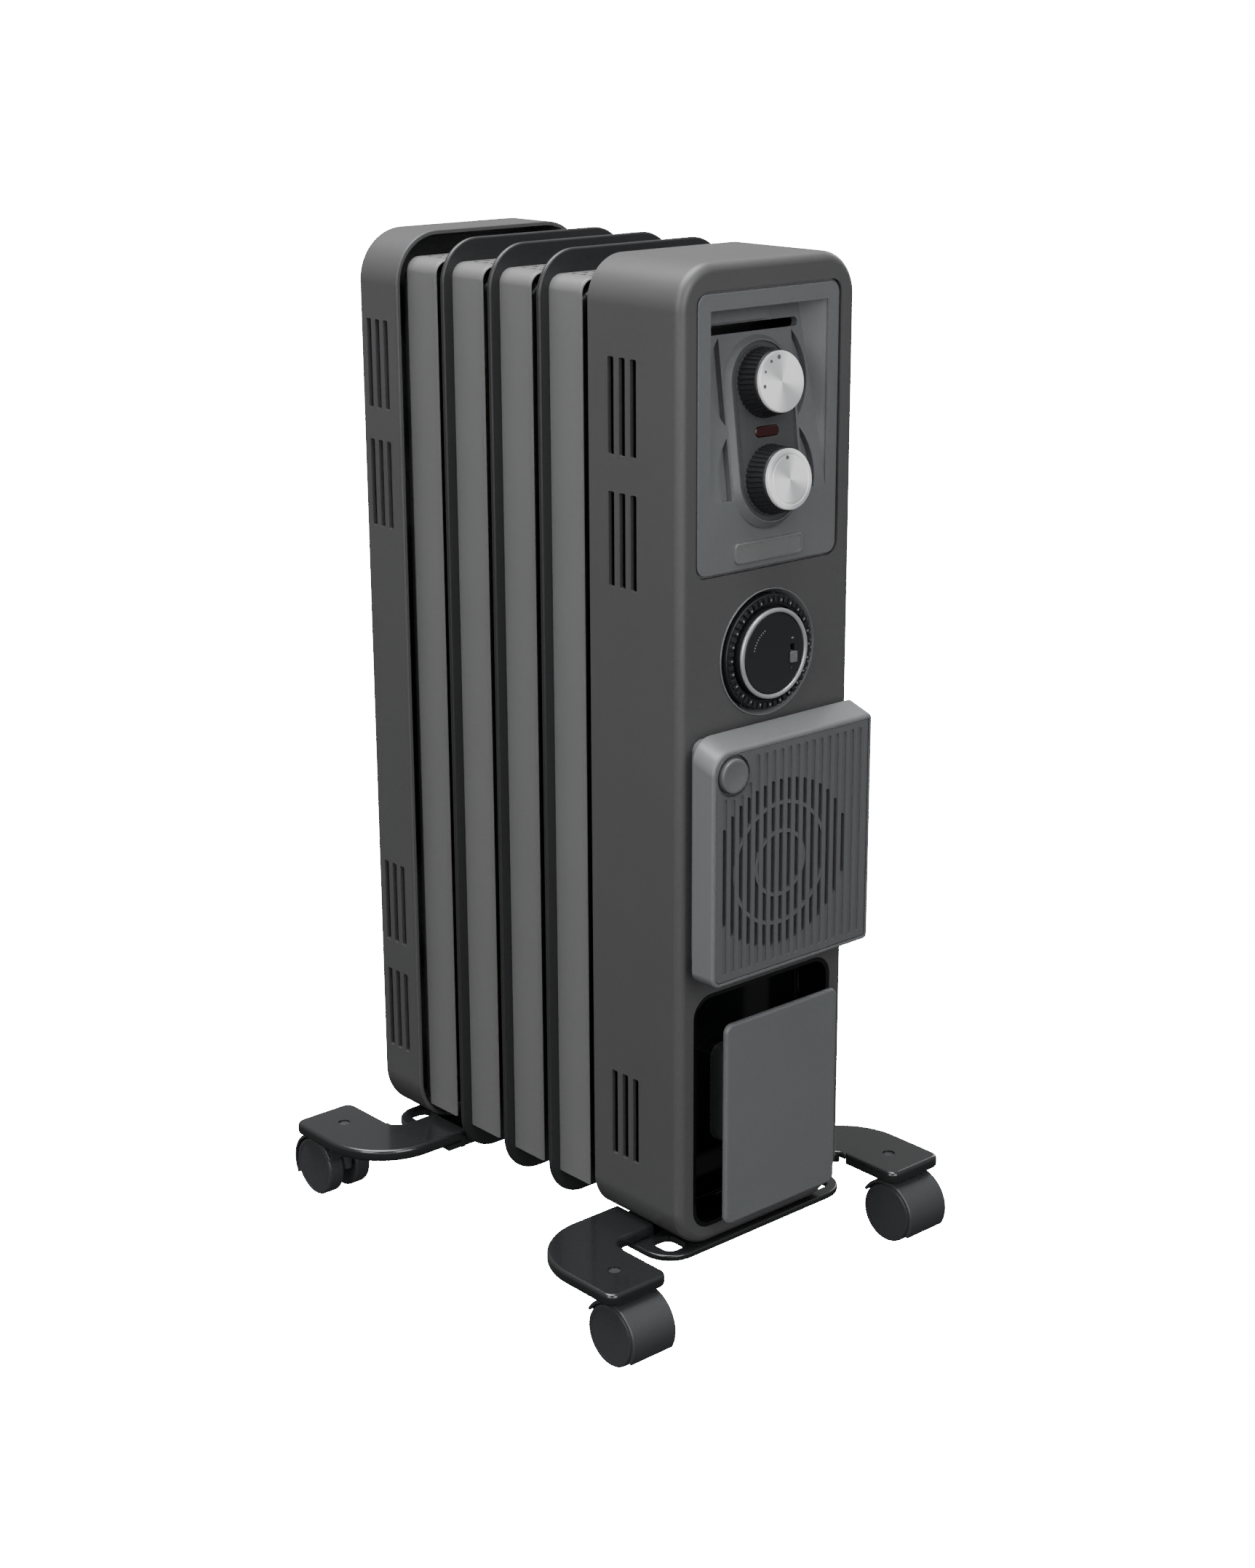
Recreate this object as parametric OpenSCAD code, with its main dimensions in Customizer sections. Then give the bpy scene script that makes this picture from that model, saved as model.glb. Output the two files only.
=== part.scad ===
// Oil filled radiator heater on four casters.
// Five oil columns stand between a front housing, which holds the controls,
// the timer, the fan heater and the cord store, and a rear cover.
// Z is up, the controls face -Y, and the floor is at z = 0.

/* [Columns] */
// Height of the column plates' top edge above the floor
heater_h = 640; // [580:5:700]
// Distance from one column to the next
fin_pitch = 45.6; // [42:0.2:54]
// Width of a column plate
fin_w = 148; // [142:1:170]
// Corner radius of a column plate
fin_r = 27; // [15:1:40]
// Height of the column plates' bottom edge above the wheels
fin_rise = 0.3; // [0.3:0.1:4]
// Thickness of a column's pressed sheet
sheet = 1; // [0.8:0.1:2]
// Thickness of the rolled hem round a plate
hem_t = 3.3; // [2.4:0.1:4]
// Width of the rolled hem round a plate
hem_w = 4; // [3:0.5:6]
// Width of the oil vessel pressed into a column
vessel_w = 100; // [80:1:110]
// Thickness of the oil vessel
vessel_t = 17; // [14:0.5:20]
// Distance from the top and bottom of a plate to its oil vessel
vessel_inset = 22; // [18:1:30]
// Outside radius of the collars that join the columns
collar_r = 20; // [16:0.5:22]
// Bore radius of the collars
collar_bore_r = 16; // [13:0.5:17]
// Height of the lower collars above the bottom of the plates
collar_rise = 50; // [45:1:70]

/* [Column covers] */
// Width across a column cover's side panels
flue_w = 133; // [124:1:138]
// Depth of a column cover
flue_d = 28.8; // [22:0.2:30]
// Distance from a column plate's top to the cover's top
flue_drop = 14; // [8:1:24]
// Distance from a column plate's bottom to the cover's bottom
flue_rise = 20; // [12:1:30]
// Thickness of the cover sheet
flue_t = 1.2; // [0.8:0.1:2]
// Size of the triangular air holes
air_hole_r = 3; // [2:0.5:3.5]

/* [Front housing] */
// Width of the front housing
housing_w = 139; // [136:1:150]
// Depth of the front housing
housing_d = 78; // [74:1:90]
// Height of the housing's underside above the wheels
housing_rise = 5.4; // [5.4:0.2:8]
// Corner radius of the housing
housing_r = 26; // [16:1:30]
// Wall thickness of the plastic shells
wall = 2.5; // [2:0.1:3]
// Set-back of the first column from the front face
fin_set = 69.6; // [68:0.2:72]

/* [Rear cover] */
// Width of the rear cover
cover_w = 151.6; // [146:1:160]
// Depth of the rear cover
cover_d = 41.3; // [36:0.5:60]
// Corner radius of the rear cover
cover_r = 32; // [20:1:40]

/* [Vents] */
// Width of a side slot
slot_w = 5; // [3:0.5:6]
// Length of a side slot
slot_l = 56; // [40:1:60]
// Distance from one slot to the next
slot_pitch = 9.4; // [8:0.2:10]

/* [Control panel] */
// Width of the control panel
panel_w = 112; // [108:1:116]
// Height of the control panel
panel_h = 160.4; // [156:0.2:166]
// Distance from the housing's top to the panel
panel_drop = 16.6; // [12:0.2:20]
// Gap round the panel
panel_gap = 0.6; // [0.4:0.1:1]
// Width of the scoop in the panel
scoop_w = 92; // [88:1:96]
// Height of the scoop
scoop_h = 109; // [105:1:112]
// Distance from the panel's bottom to the scoop
scoop_rise = 40; // [38:1:42]
// Angle between the scoop's floor and the front face
scoop_tilt = 7.8; // [5:0.2:9]
// Height of the raised pod that carries the knobs
pod_t = 3; // [2:0.5:4]
// Radius of the pod's round ends
pod_r = 24; // [22:0.5:26]
// Height of the grip slot above the knobs
grip_h = 8; // [6:0.5:9]

/* [Knobs] */
// Radius of a knob's skirt
knob_r = 19.5; // [17:0.5:21]
// Height of the thermostat knob above the scoop's lower edge
knob_rise = 10.8; // [10:0.2:12]
// Distance between the two knobs
knob_pitch = 55.2; // [52:0.2:57]
// Height of a knob's skirt
knob_h = 12.8; // [10:0.2:15]
// Thickness of the metal cap on a knob
cap_t = 2.6; // [1.5:0.1:4]
// Radius of the metal cap
cap_r = 18.5; // [16:0.5:19]
// Radius of the knob shafts
shaft_r = 3; // [2.5:0.1:3.5]

/* [Timer] */
// Radius of the timer's hole in the housing
timer_r = 38.3; // [36:0.1:40]
// Distance from the panel's bottom to the timer's axis
timer_drop = 51; // [46:1:56]
// Radius of the silver ring
ring_r = 27; // [25:0.5:29]
// Number of switching tappets round the dial
tappets = 48; // [24:24:48]
// Travel of the override switch
override_travel = 4; // [3:0.5:5]

/* [Fan heater] */
// Width of the fan module
fan_w = 131; // [124:1:136]
// Height of the fan module
fan_h = 143.5; // [136:0.5:146]
// Distance from the timer's axis to the fan module's top
fan_drop = 45; // [44:1:48]
// Distance the fan module stands out from the housing
fan_out = 24; // [22:0.5:30]
// Gap between the fan module and the housing's face
fan_gap = 6; // [4:0.5:7]
// Radius of the slotted outlet
outlet_r = 52; // [48:0.5:52]
// Sideways offset of the outlet from the middle
outlet_x = -10; // [-10:0.5:-8]
// Distance from one grille slot to the next
rib_pitch = 6.5; // [6:0.1:7.5]
// Width of a grille slot
rib_slot = 3.2; // [2.4:0.1:3.6]
// Gap between the rotor's blades and their duct
rotor_gap = 2; // [1:0.5:4]
// Radius of the fan button
button_r = 10.4; // [8:0.1:10.6]
// Travel of the fan button
button_travel = 3; // [2:0.5:3.5]

/* [Cord store] */
// Width of the cord recess
recess_w = 115; // [110:1:118]
// Height of the cord recess
recess_h = 153; // [146:1:155]
// Depth of the cord recess
recess_d = 28; // [22:1:30]
// Width of the cord flap
flap_w = 94; // [84:1:104]
// Height of the cord flap
flap_h = 131; // [120:1:136]
// Distance from the front face to the flap's front
flap_out = 17.5; // [15:0.5:18]
// Bore radius of the cord inlet
inlet_r = 4; // [3:0.1:4.2]

/* [Feet] */
// Height of a foot's top above the wheels
foot_rise = 12.8; // [12.4:0.2:14]
// Distance between the left and right caster pins
pin_span = 238; // [230:1:250]
// Width of a caster pad
pad_w = 46; // [42:1:50]
// Thickness of a foot's plate
foot_t = 3.5; // [3:0.1:4.2]
// Depth of the rolled edge round a foot
foot_rim = 8.4; // [7:0.1:8.5]

/* [Casters] */
// Radius of a caster wheel
wheel_r = 19.6; // [18:0.1:20]
// Thickness of a caster wheel
wheel_t = 11.5; // [9:0.5:13]
// Distance from the caster pin to the axle
trail = 14; // [10:0.5:15]
// Radius of the caster pin
pin_r = 4; // [3:0.1:4.3]
// Radius of the axle
axle_r = 3; // [2:0.1:3.5]

/* [Hidden] */
$fn = 64;
eps = 0.02;
running = 0.05;
clear = 0.4;
fin_count = 5;

// Heights above the floor.
wheel_d = 2 * wheel_r;
fin_bottom = wheel_d + fin_rise;
housing_bottom = wheel_d + housing_rise;
foot_top = wheel_d + foot_rise;

// Places along the heater, measured from the front face.
last_fin = fin_set + (fin_count - 1) * fin_pitch;
cover_y = last_fin - 1.2;
total_l = cover_y + cover_d;
pin_front = 2.4;
pin_rear = total_l - 12.5;
front_y = -(pin_front + pin_rear) / 2;

// Columns.
vessel_z0 = fin_bottom + vessel_inset;
vessel_z1 = heater_h - vessel_inset;
vessel_r = 18;
collar_z0 = fin_bottom + collar_rise;
collar_z1 = heater_h - collar_rise;
collar_gap = fin_pitch - vessel_t;
inner_fin_w = housing_w - 2 * wall - 1;
plug_r = 6;
element_r = 4;
element_x = 8;
element_end = last_fin - 24;
flange_y = fin_set - vessel_t / 2;

// Controls.
panel_z1 = heater_h - panel_drop;
panel_z0 = panel_z1 - panel_h;
scoop_z0 = panel_z0 + scoop_rise;
scoop_depth = scoop_h * tan(scoop_tilt);
knob_s = [knob_rise, knob_rise + knob_pitch];
knob_foot = pod_t + 0.6;
knob_face = knob_foot + knob_h;
lamp_s = knob_rise + knob_pitch / 2;
lamp_w = 18.8;
lamp_h = 6.4;
switch_d = 22;
badge_z = panel_z0 + 4.6;

// Timer.
timer_z = panel_z0 - timer_drop;
dial_r = timer_r - 2.9;
post_r = 6;
override_x = 15;

// Fan heater.
fan_z1 = timer_z - fan_drop;
fan_z0 = fan_z1 - fan_h;
outlet_z = fan_z1 - 77;
neck_in = 6;
duct_t = 2.4;
duct_r = fan_w / 2 - neck_in - wall + outlet_x - duct_t - clear;
rotor_r = duct_r - rotor_gap;
motor_shaft_r = 2.5;
button_x = -fan_w / 2 + 16.5;
button_z = fan_z1 - 15.5;

// Cord store.
recess_z0 = 56;
recess_z1 = recess_z0 + recess_h;
flap_z0 = recess_z0 + 7;
flap_z1 = flap_z0 + flap_h;
flap_t = 3.5;
post_w = 40;
inlet_x = -35;
inlet_z = (flap_z1 + recess_z1 - wall) / 2;

// Feet and casters.
pad_x0 = pin_span / 2 - pad_w / 2 + 1;
pad_x1 = pad_x0 + pad_w;
pad_v0 = -24.5;
arc_v = 17.7;
band_v = arc_v + 10;
saddle_z0 = wheel_d + 2 * clear;
saddle_z1 = housing_bottom - clear;
lip_v = pin_front + 1;
lip_x = housing_w / 2 + 10;
rim_z = foot_top - foot_rim;
wheel_x0 = pin_r + 1;
wheel_x1 = wheel_x0 + wheel_t;
web_x = pin_r + 0.5;
hood_r = wheel_r + 2.8;
hood_t = 2;
hood_x = wheel_x1 + 0.4;
caster_top = rim_z - 2 * clear;

// Clamps that carry the columns on the feet.
clamp_r = 3;
clamp_x = collar_r + clamp_r + 0.1;
clamp_back = 12;
foot_depth = band_v + pad_w - 10;
front_tongue = fin_set + fin_pitch / 2 - pin_front - foot_depth + clamp_back;
rear_tongue = pin_rear - last_fin + fin_pitch / 2 - foot_depth + clamp_back;

// Screws that hold the housing and the rear cover on the end columns.
screw_x = vessel_w / 2 + 5;
screw_r = 1.6;
screw_l = 12;
boss_r = 4;
boss_z = [recess_z1 + 6, scoop_z0 - 56];

// Widest place where a foot may rise beside a shell of width w and corner radius r.
function step_x(w, r) = w / 2 - r + sqrt(r * r - pow(r - foot_top + housing_bottom - clear, 2)) + clear;

// Colours.
graphite = [0.28, 0.28, 0.29];
soft_grey = [0.36, 0.37, 0.38];
near_black = [0.08, 0.08, 0.09];
steel = [0.62, 0.63, 0.65];
bright = [0.85, 0.86, 0.88];

// Distance of column i from the front face.
function fin_y(i) = fin_set + (i - 1) * fin_pitch;

// Box between two corners, with y measured from the front face.
module box(x, y, z) {
    translate([x[0], front_y + y[0], z[0]])
        cube([x[1] - x[0], y[1] - y[0], z[1] - z[0]]);
}

// Rounded rectangle, centred in x and standing on y = 0.
module rounded_rect(w, h, r) {
    translate([-w / 2 + r, 0])
        square([w - 2 * r, h]);
    translate([-w / 2, r])
        square([w, h - 2 * r]);
    for (x = [-w / 2 + r, w / 2 - r])
        for (y = [r, h - r])
            translate([x, y])
                circle(r);
}

// Upright slab with rounded corners, with y measured from the front face.
module slab(w, z, r, y) {
    translate([0, front_y + y[1], z[0]])
        rotate([90, 0, 0])
            linear_extrude(y[1] - y[0])
                rounded_rect(w, z[1] - z[0], r);
}

// Rod along Y, with y measured from the front face.
module rod(x, z, r, y) {
    translate([x, front_y + y[1], z])
        rotate([90, 0, 0])
            cylinder(r = r, h = y[1] - y[0]);
}

// Places its children on the scoop's sloping floor; local z runs up the floor and -y stands out.
module on_scoop() {
    translate([0, front_y, scoop_z0])
        rotate([-scoop_tilt, 0, 0])
            children();
}

// Rod that stands on the scoop's floor at height s, from depth a to depth b.
module scoop_rod(s, r, a, b) {
    on_scoop()
        translate([0, b, s])
            rotate([90, 0, 0])
                cylinder(r = r, h = b - a);
}

// Three side slots through a wall at x, centred on y and standing on z.
module slot_group(x, y, z) {
    for (i = [-1:1])
        translate([x - 2 * wall, front_y + y + i * slot_pitch - slot_w / 2, z])
            cube([4 * wall, slot_w, slot_l]);
}

// Four bosses between two depths, with a hole for a screw at each.
module bosses(y) {
    for (x = [-screw_x, screw_x])
        for (z = boss_z)
            rod(x, z, boss_r, y);
}

// Four screw holes between two depths.
module screw_holes(r, y) {
    for (x = [-screw_x, screw_x])
        for (z = boss_z)
            rod(x, z, r, y);
}

// Shell of the front housing, open at the rear, with four screw bosses.
module front_housing() {
    color(graphite)
        difference() {
            union() {
                difference() {
                    slab(housing_w, [housing_bottom, heater_h], housing_r, [0, housing_d]);
                    slab(housing_w - 2 * wall, [housing_bottom + wall, heater_h - wall],
                         housing_r - wall, [wall, housing_d + 1]);
                }
                bosses([wall - 1, fin_set]);
            }
            screw_holes(screw_r + running, [fin_set - screw_l - 1, fin_set + 1]);
            slab(panel_w + 2 * panel_gap, [panel_z0 - panel_gap, panel_z1 + panel_gap],
                 8, [-1, wall + 1]);
            rod(0, timer_z, timer_r, [-1, wall + 1]);
            rod(outlet_x, outlet_z, duct_r + duct_t + 0.5, [-1, wall + 1]);
            slab(recess_w, [recess_z0, recess_z1], 14, [-1, wall + 1]);
            for (side = [-1, 1])
                for (z = [heater_h - 111, heater_h - 188, housing_bottom + 48])
                    slot_group(side * (housing_w / 2 - wall / 2), housing_d * 0.62, z);
        }
}

// Shell of the rear cover, open at the front, with four screw bosses.
module rear_cover() {
    z0 = housing_bottom;
    z1 = heater_h + 1;
    color(graphite)
        difference() {
            union() {
                difference() {
                    slab(cover_w, [z0, z1], cover_r, [cover_y, total_l]);
                    slab(cover_w - 2 * wall, [z0 + wall, z1 - wall], cover_r - wall,
                         [cover_y - 1, total_l - wall]);
                }
                bosses([last_fin + sheet, total_l - wall + 1]);
            }
            screw_holes(screw_r + running, [last_fin, last_fin + sheet + screw_l + 1]);
            for (side = [-1, 1])
                for (z = [heater_h - 110, heater_h - 186, z0 + 128, z0 + 52])
                    slot_group(side * (cover_w / 2 - wall / 2), cover_y + cover_d * 0.53, z);
        }
}

// One oil column: a hemmed plate with a hollow vessel pressed into it.
module fin(i) {
    y = fin_y(i);
    inner = i == 1 || i == fin_count;
    w = inner ? inner_fin_w : fin_w;
    z0 = inner ? vessel_z0 - 8 : fin_bottom;
    z1 = inner ? vessel_z1 + 8 : heater_h;
    r = inner ? 16 : fin_r;
    v0 = y - vessel_t / 2;
    v1 = y + vessel_t / 2;
    color(near_black)
        difference() {
            union() {
                slab(w, [z0, z1], r, [y, y + sheet]);
                difference() {
                    slab(w, [z0, z1], r, [y, y + hem_t]);
                    slab(w - 2 * hem_w, [z0 + hem_w, z1 - hem_w], r - hem_w, [y - 1, y + hem_t + 1]);
                }
                slab(vessel_w, [vessel_z0, vessel_z1], vessel_r, [v0, v1]);
            }
            slab(vessel_w - 2 * sheet, [vessel_z0 + sheet, vessel_z1 - sheet],
                 vessel_r - sheet, [v0 + sheet, v1 - sheet]);
            rod(0, collar_z0, collar_bore_r, [v0 - 1, i < fin_count ? v1 + 1 : y]);
            if (i > 1)
                rod(0, collar_z1, collar_bore_r, [v0 - 1, y]);
            if (i < fin_count)
                rod(0, collar_z1, collar_bore_r, [y, v1 + 1]);
            if (i == fin_count)
                rod(0, collar_z1, plug_r, [y, v1 + 1]);
            if (inner)
                screw_holes(screw_r + running, [y - 1, y + sheet + 1]);
        }
}

// Welded collars that join the columns at the bottom and the top.
module header_collars() {
    color(near_black)
        for (i = [1:fin_count - 1])
            for (z = [collar_z0, collar_z1]) {
                y0 = fin_y(i) + vessel_t / 2;
                difference() {
                    rod(0, z, collar_r, [y0, y0 + collar_gap]);
                    rod(0, z, collar_bore_r, [y0 - 1, y0 + collar_gap + 1]);
                }
            }
}

// Plug that seals the filling hole in the last column.
module filler_plug() {
    y = last_fin + vessel_t / 2;
    color(steel) {
        rod(0, collar_z1, plug_r - running, [y - sheet, y]);
        translate([0, front_y + y + 7, collar_z1])
            rotate([90, 0, 0])
                cylinder(r = 10, h = 7, $fn = 6);
    }
}

// Oil inside the vessels and collars, with air space above it.
module oil_charge() {
    gap = 0.3;
    level = vessel_z1 - 45;
    color([0.75, 0.6, 0.25, 0.6])
        difference() {
            union() {
                for (i = [1:fin_count])
                    slab(vessel_w - 2 * (sheet + gap), [vessel_z0 + sheet + gap, level],
                         vessel_r - sheet - gap,
                         [fin_y(i) - vessel_t / 2 + sheet + gap, fin_y(i) + vessel_t / 2 - sheet - gap]);
                rod(0, collar_z0, collar_bore_r - gap, [fin_set, last_fin]);
            }
            for (x = [-element_x, element_x])
                rod(x, collar_z0, element_r + gap, [0, element_end + gap]);
            rod(0, collar_z0, element_x + element_r + 3 * gap, [element_end - 1, element_end + 16]);
        }
}

// Immersed tubular element on its mounting flange.
module heating_element() {
    color(steel) {
        rod(0, collar_z0, 26, [flange_y - 5, flange_y]);
        for (x = [-element_x, element_x]) {
            rod(x, collar_z0, element_r, [flange_y - 1, element_end]);
            rod(x, collar_z0, 2, [flange_y - 17, flange_y - 4]);
        }
        translate([0, front_y + element_end, collar_z0])
            rotate_extrude(angle = 180)
                translate([element_x, 0])
                    circle(element_r);
    }
}

// Screws through the end columns' plates into the bosses of the housing and the cover.
module housing_screws() {
    color(steel) {
        screw_holes(screw_r, [fin_set - screw_l, fin_set + sheet + 1]);
        screw_holes(3.4, [fin_set + sheet, fin_set + sheet + 2]);
        screw_holes(screw_r, [last_fin - 1, last_fin + sheet + screw_l]);
        screw_holes(3.4, [last_fin - 2, last_fin]);
    }
}

// Safety cut-out that is clipped to the first column.
module thermal_cutout() {
    z = collar_z0 + 70;
    color(steel) {
        rod(0, z, 8, [flange_y - 8, flange_y]);
        for (x = [-4, 4])
            box([x - 1.5, x + 1.5], [flange_y - 15, flange_y - 7], [z - 0.5, z + 0.5]);
    }
}

// Pressed cover in front of column i: two side panels and a perforated top.
module column_cover(i) {
    y1 = fin_y(i);
    y0 = y1 - flue_d;
    z0 = fin_bottom + flue_rise;
    z1 = heater_h - flue_drop;
    hole_pitch = 2.7 * air_hole_r;
    color(soft_grey)
        difference() {
            slab(flue_w, [z0 - 20, z1], 9, [y0, y1]);
            slab(flue_w - 2 * flue_t, [z0 - 30, z1 - flue_t], 9 - flue_t, [y0 - 1, y1 + 1]);
            box([-flue_w / 2 - 1, flue_w / 2 + 1], [y0 - 1, y1 + 1], [z0 - 31, z0]);
            for (x = [-flue_w / 2 + 14:hole_pitch:flue_w / 2 - 14])
                for (y = [y0 + 6:hole_pitch:y1 - 5])
                    translate([x, front_y + y, z1 - 4])
                        rotate([0, 0, 90])
                            cylinder(r = air_hole_r, h = 8, $fn = 3);
        }
}

// Sheet that keeps the columns' heat away from the controls.
module heat_shield() {
    z0 = recess_z1 + 14;
    color(bright)
        difference() {
            union() {
                slab(vessel_w, [z0, vessel_z1 - 4], 14, [flange_y - 10, flange_y - 9]);
                for (x = [-34, 34])
                    for (z = [z0 + 20, vessel_z1 - 30])
                        rod(x, z, 3, [flange_y - 9.5, flange_y]);
            }
            rod(0, timer_z, 12, [0, flange_y - 5]);
        }
}

// Inset panel with its scoop, grip slot and the raised pod for the knobs.
module control_panel() {
    floor_t = wall;
    color(soft_grey)
        difference() {
            union() {
                slab(panel_w, [panel_z0, panel_z1], 7, [0.2, wall]);
                box([-scoop_w / 2 - wall, scoop_w / 2 + wall],
                    [wall - 1, scoop_depth + wall], [scoop_z0, scoop_z0 + scoop_h + wall]);
                pod(pod_r, -pod_t, 1);
            }
            scoop_space(scoop_w, scoop_h);
            pod_backs();
            for (s = knob_s)
                scoop_rod(s, shaft_r + 1 + clear, -10, 10);
            on_scoop()
                translate([0, 10, lamp_s - lamp_h / 2])
                    rotate([90, 0, 0])
                        linear_extrude(20)
                            rounded_rect(lamp_w, lamp_h, 3);
            on_scoop()
                translate([-scoop_w / 2 + 4, -5, scoop_h - 3 - grip_h])
                    cube([scoop_w - 8, 15, grip_h]);
        }
}

// Clear space of the scoop above its floor, less the pod.
module scoop_space(w, h) {
    difference() {
        translate([-w / 2, 0, 0])
            rotate([90, 0, 90])
                linear_extrude(w)
                    polygon([[front_y - 1, scoop_z0 - eps], [front_y, scoop_z0],
                             [front_y + scoop_depth, scoop_z0 + h], [front_y - 1, scoop_z0 + h]]);
        pod(pod_r, -pod_t, 3);
    }
}

// Rounded pod on the scoop's floor, from depth a to depth b.
module pod(r, a, b) {
    on_scoop()
        translate([0, b, knob_s[0] - r])
            rotate([90, 0, 0])
                linear_extrude(b - a)
                    rounded_rect(2 * r, knob_pitch + 2 * r, r);
}

// Space behind the scoop's floor for the switch and the thermostat.
module pod_backs() {
    on_scoop()
        translate([-scoop_w / 2 - wall - 1, wall, 0])
            cube([scoop_w + 2 * wall + 2, 40, scoop_h + 30]);
}

// Blank badge plate.
module badge() {
    color(steel)
        slab(54, [badge_z, badge_z + 12], 3, [-1.2, 0.2]);
}

// Red lens of the indicator lamp.
module lamp_lens() {
    color([0.35, 0.02, 0.03])
        on_scoop()
            translate([0, 0, lamp_s - lamp_h / 2 + 0.1])
                rotate([90, 0, 0])
                    linear_extrude(pod_t + 1)
                        rounded_rect(lamp_w - 0.2, lamp_h - 0.2, 2.9);
}

// Neon lamp behind the lens.
module indicator_lamp() {
    color([0.9, 0.5, 0.3])
        scoop_rod(lamp_s, 2.9, 0.3, 16);
}

// Body of a rotary control behind the scoop's floor, with its shaft bore.
module control_body(s, w, h) {
    difference() {
        union() {
            on_scoop()
                translate([-w / 2, wall + 0.3, s - h / 2])
                    cube([w, switch_d, h]);
            scoop_rod(s, shaft_r + 1, 0.4, 5);
        }
        scoop_rod(s, shaft_r + running, -1, 16);
    }
}

// Power switch body.
module rotary_switch() {
    color([0.85, 0.84, 0.8])
        control_body(knob_s[1], 40, 34);
}

// Thermostat body.
module thermostat() {
    color(steel)
        control_body(knob_s[0], 36, 2 * knob_rise - 1.2);
}

// Shaft of a rotary control, with the knob's flat.
module control_shaft(s) {
    color(steel)
        difference() {
            scoop_rod(s, shaft_r, -knob_face + 3, 14);
            on_scoop()
                translate([-5, -knob_face, s + shaft_r - 0.8])
                    cube([10, knob_h - 1, 5]);
        }
}

// Fluted skirt of a knob.
module knob_skirt(s) {
    flutes = 36;
    color(near_black)
        difference() {
            scoop_rod(s, knob_r, -knob_face, -knob_foot);
            scoop_rod(s, shaft_r + 0.03, -knob_face + 2.8, 0);
            on_scoop()
                for (i = [0:flutes - 1])
                    translate([knob_r * cos(i * 360 / flutes), -knob_foot - 2,
                               s + knob_r * sin(i * 360 / flutes)])
                        rotate([90, 0, 0])
                            cylinder(r = 0.8, h = knob_h - 3, $fn = 16);
        }
}

// Spun metal cap on a knob.
module knob_cap(s) {
    color(bright)
        scoop_rod(s, cap_r, -knob_face - cap_t, -knob_face);
}

// Terminal block for the supply cord.
module terminal_block() {
    color([0.9, 0.9, 0.86])
        difference() {
            box([-52, -16], [recess_d, recess_d + 14], [recess_z1 - 42, recess_z1 - 24]);
            for (x = [-46, -34, -22])
                rod(x, recess_z1 - 33, 2.2, [recess_d + 4, recess_d + 15]);
        }
}

// Wires from the terminal block up to the switch and down to the element.
module wiring_loom() {
    x = 46;
    y = recess_d + 10;
    branches = [[-16, recess_z1 - 33], [element_x + 2.4, collar_z0], [20, scoop_z0 + knob_s[1]]];
    color(near_black) {
        translate([x, front_y + y, collar_z0])
            cylinder(r = 3.5, h = scoop_z0 + knob_s[1] - collar_z0);
        for (end = branches)
            translate([end[0], front_y + y, end[1]])
                rotate([0, 90, 0])
                    cylinder(r = 2.5, h = x - end[0]);
    }
}

// Bright chamfered ring round the timer.
module timer_bezel() {
    color(steel)
        translate([0, front_y, timer_z])
            rotate([90, 0, 0])
                rotate_extrude()
                    polygon([[timer_r - 0.2, -7], [timer_r - 0.2, 0.4], [timer_r - 0.9, 0.8],
                             [timer_r - 2.3, -5], [timer_r - 2.3, -7]]);
}

// Timer movement behind the dial.
module timer_movement() {
    color([0.8, 0.8, 0.76])
        difference() {
            union() {
                box([-36, 36], [7.4, 34], [timer_z - 36, timer_z + 36]);
                rod(0, timer_z, 7.5, [6.5, 8]);
            }
            rod(0, timer_z, post_r - 2 + running, [0, 20]);
            rod(0, timer_z, 20, [28, 40]);
        }
}

// Fixed centre disc of the timer, with the slot of the override switch.
module timer_centre() {
    color(near_black)
        difference() {
            union() {
                rod(0, timer_z, ring_r - 3, [-6.2, -3.2]);
                rod(0, timer_z, post_r, [-4, 6.4]);
                rod(0, timer_z, post_r - 2, [6, 18]);
            }
            box([override_x - 1.7, override_x + 1.7], [-8, -1], [timer_z - 8, timer_z - 0.6 + override_travel]);
        }
}

// Turning dial with its ring of tappets.
module timer_dial() {
    color(near_black)
        difference() {
            union() {
                rod(0, timer_z, dial_r, [1.5, 6]);
                difference() {
                    rod(0, timer_z, dial_r, [-1.5, 2]);
                    rod(0, timer_z, ring_r + 1.6, [-3, 1.5]);
                }
                translate([0, front_y, timer_z])
                    for (i = [0:tappets - 1])
                        rotate([0, i * 360 / tappets, 0])
                            translate([dial_r - 3, -3, -0.7])
                                cube([2, 2, 1.4]);
            }
            rod(0, timer_z, post_r + running, [-5, 10]);
        }
}

// Silver ring on the dial.
module timer_ring() {
    color(bright)
        difference() {
            rod(0, timer_z, ring_r, [-7, 1.5]);
            rod(0, timer_z, ring_r - 2.6, [-8, 2]);
        }
}

// Sliding override switch in the centre disc.
module timer_override() {
    color(steel) {
        box([override_x - 1.3, override_x + 1.3], [-6.6, -1.5], [timer_z - 7.6, timer_z - 1]);
        box([override_x - 2.6, override_x + 2.6], [-7.8, -6.5], [timer_z - 7.6, timer_z - 1]);
        box([override_x - 2.6, override_x + 2.6], [-2.7, -1.5], [timer_z - 7.6, timer_z - 1]);
    }
}

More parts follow.
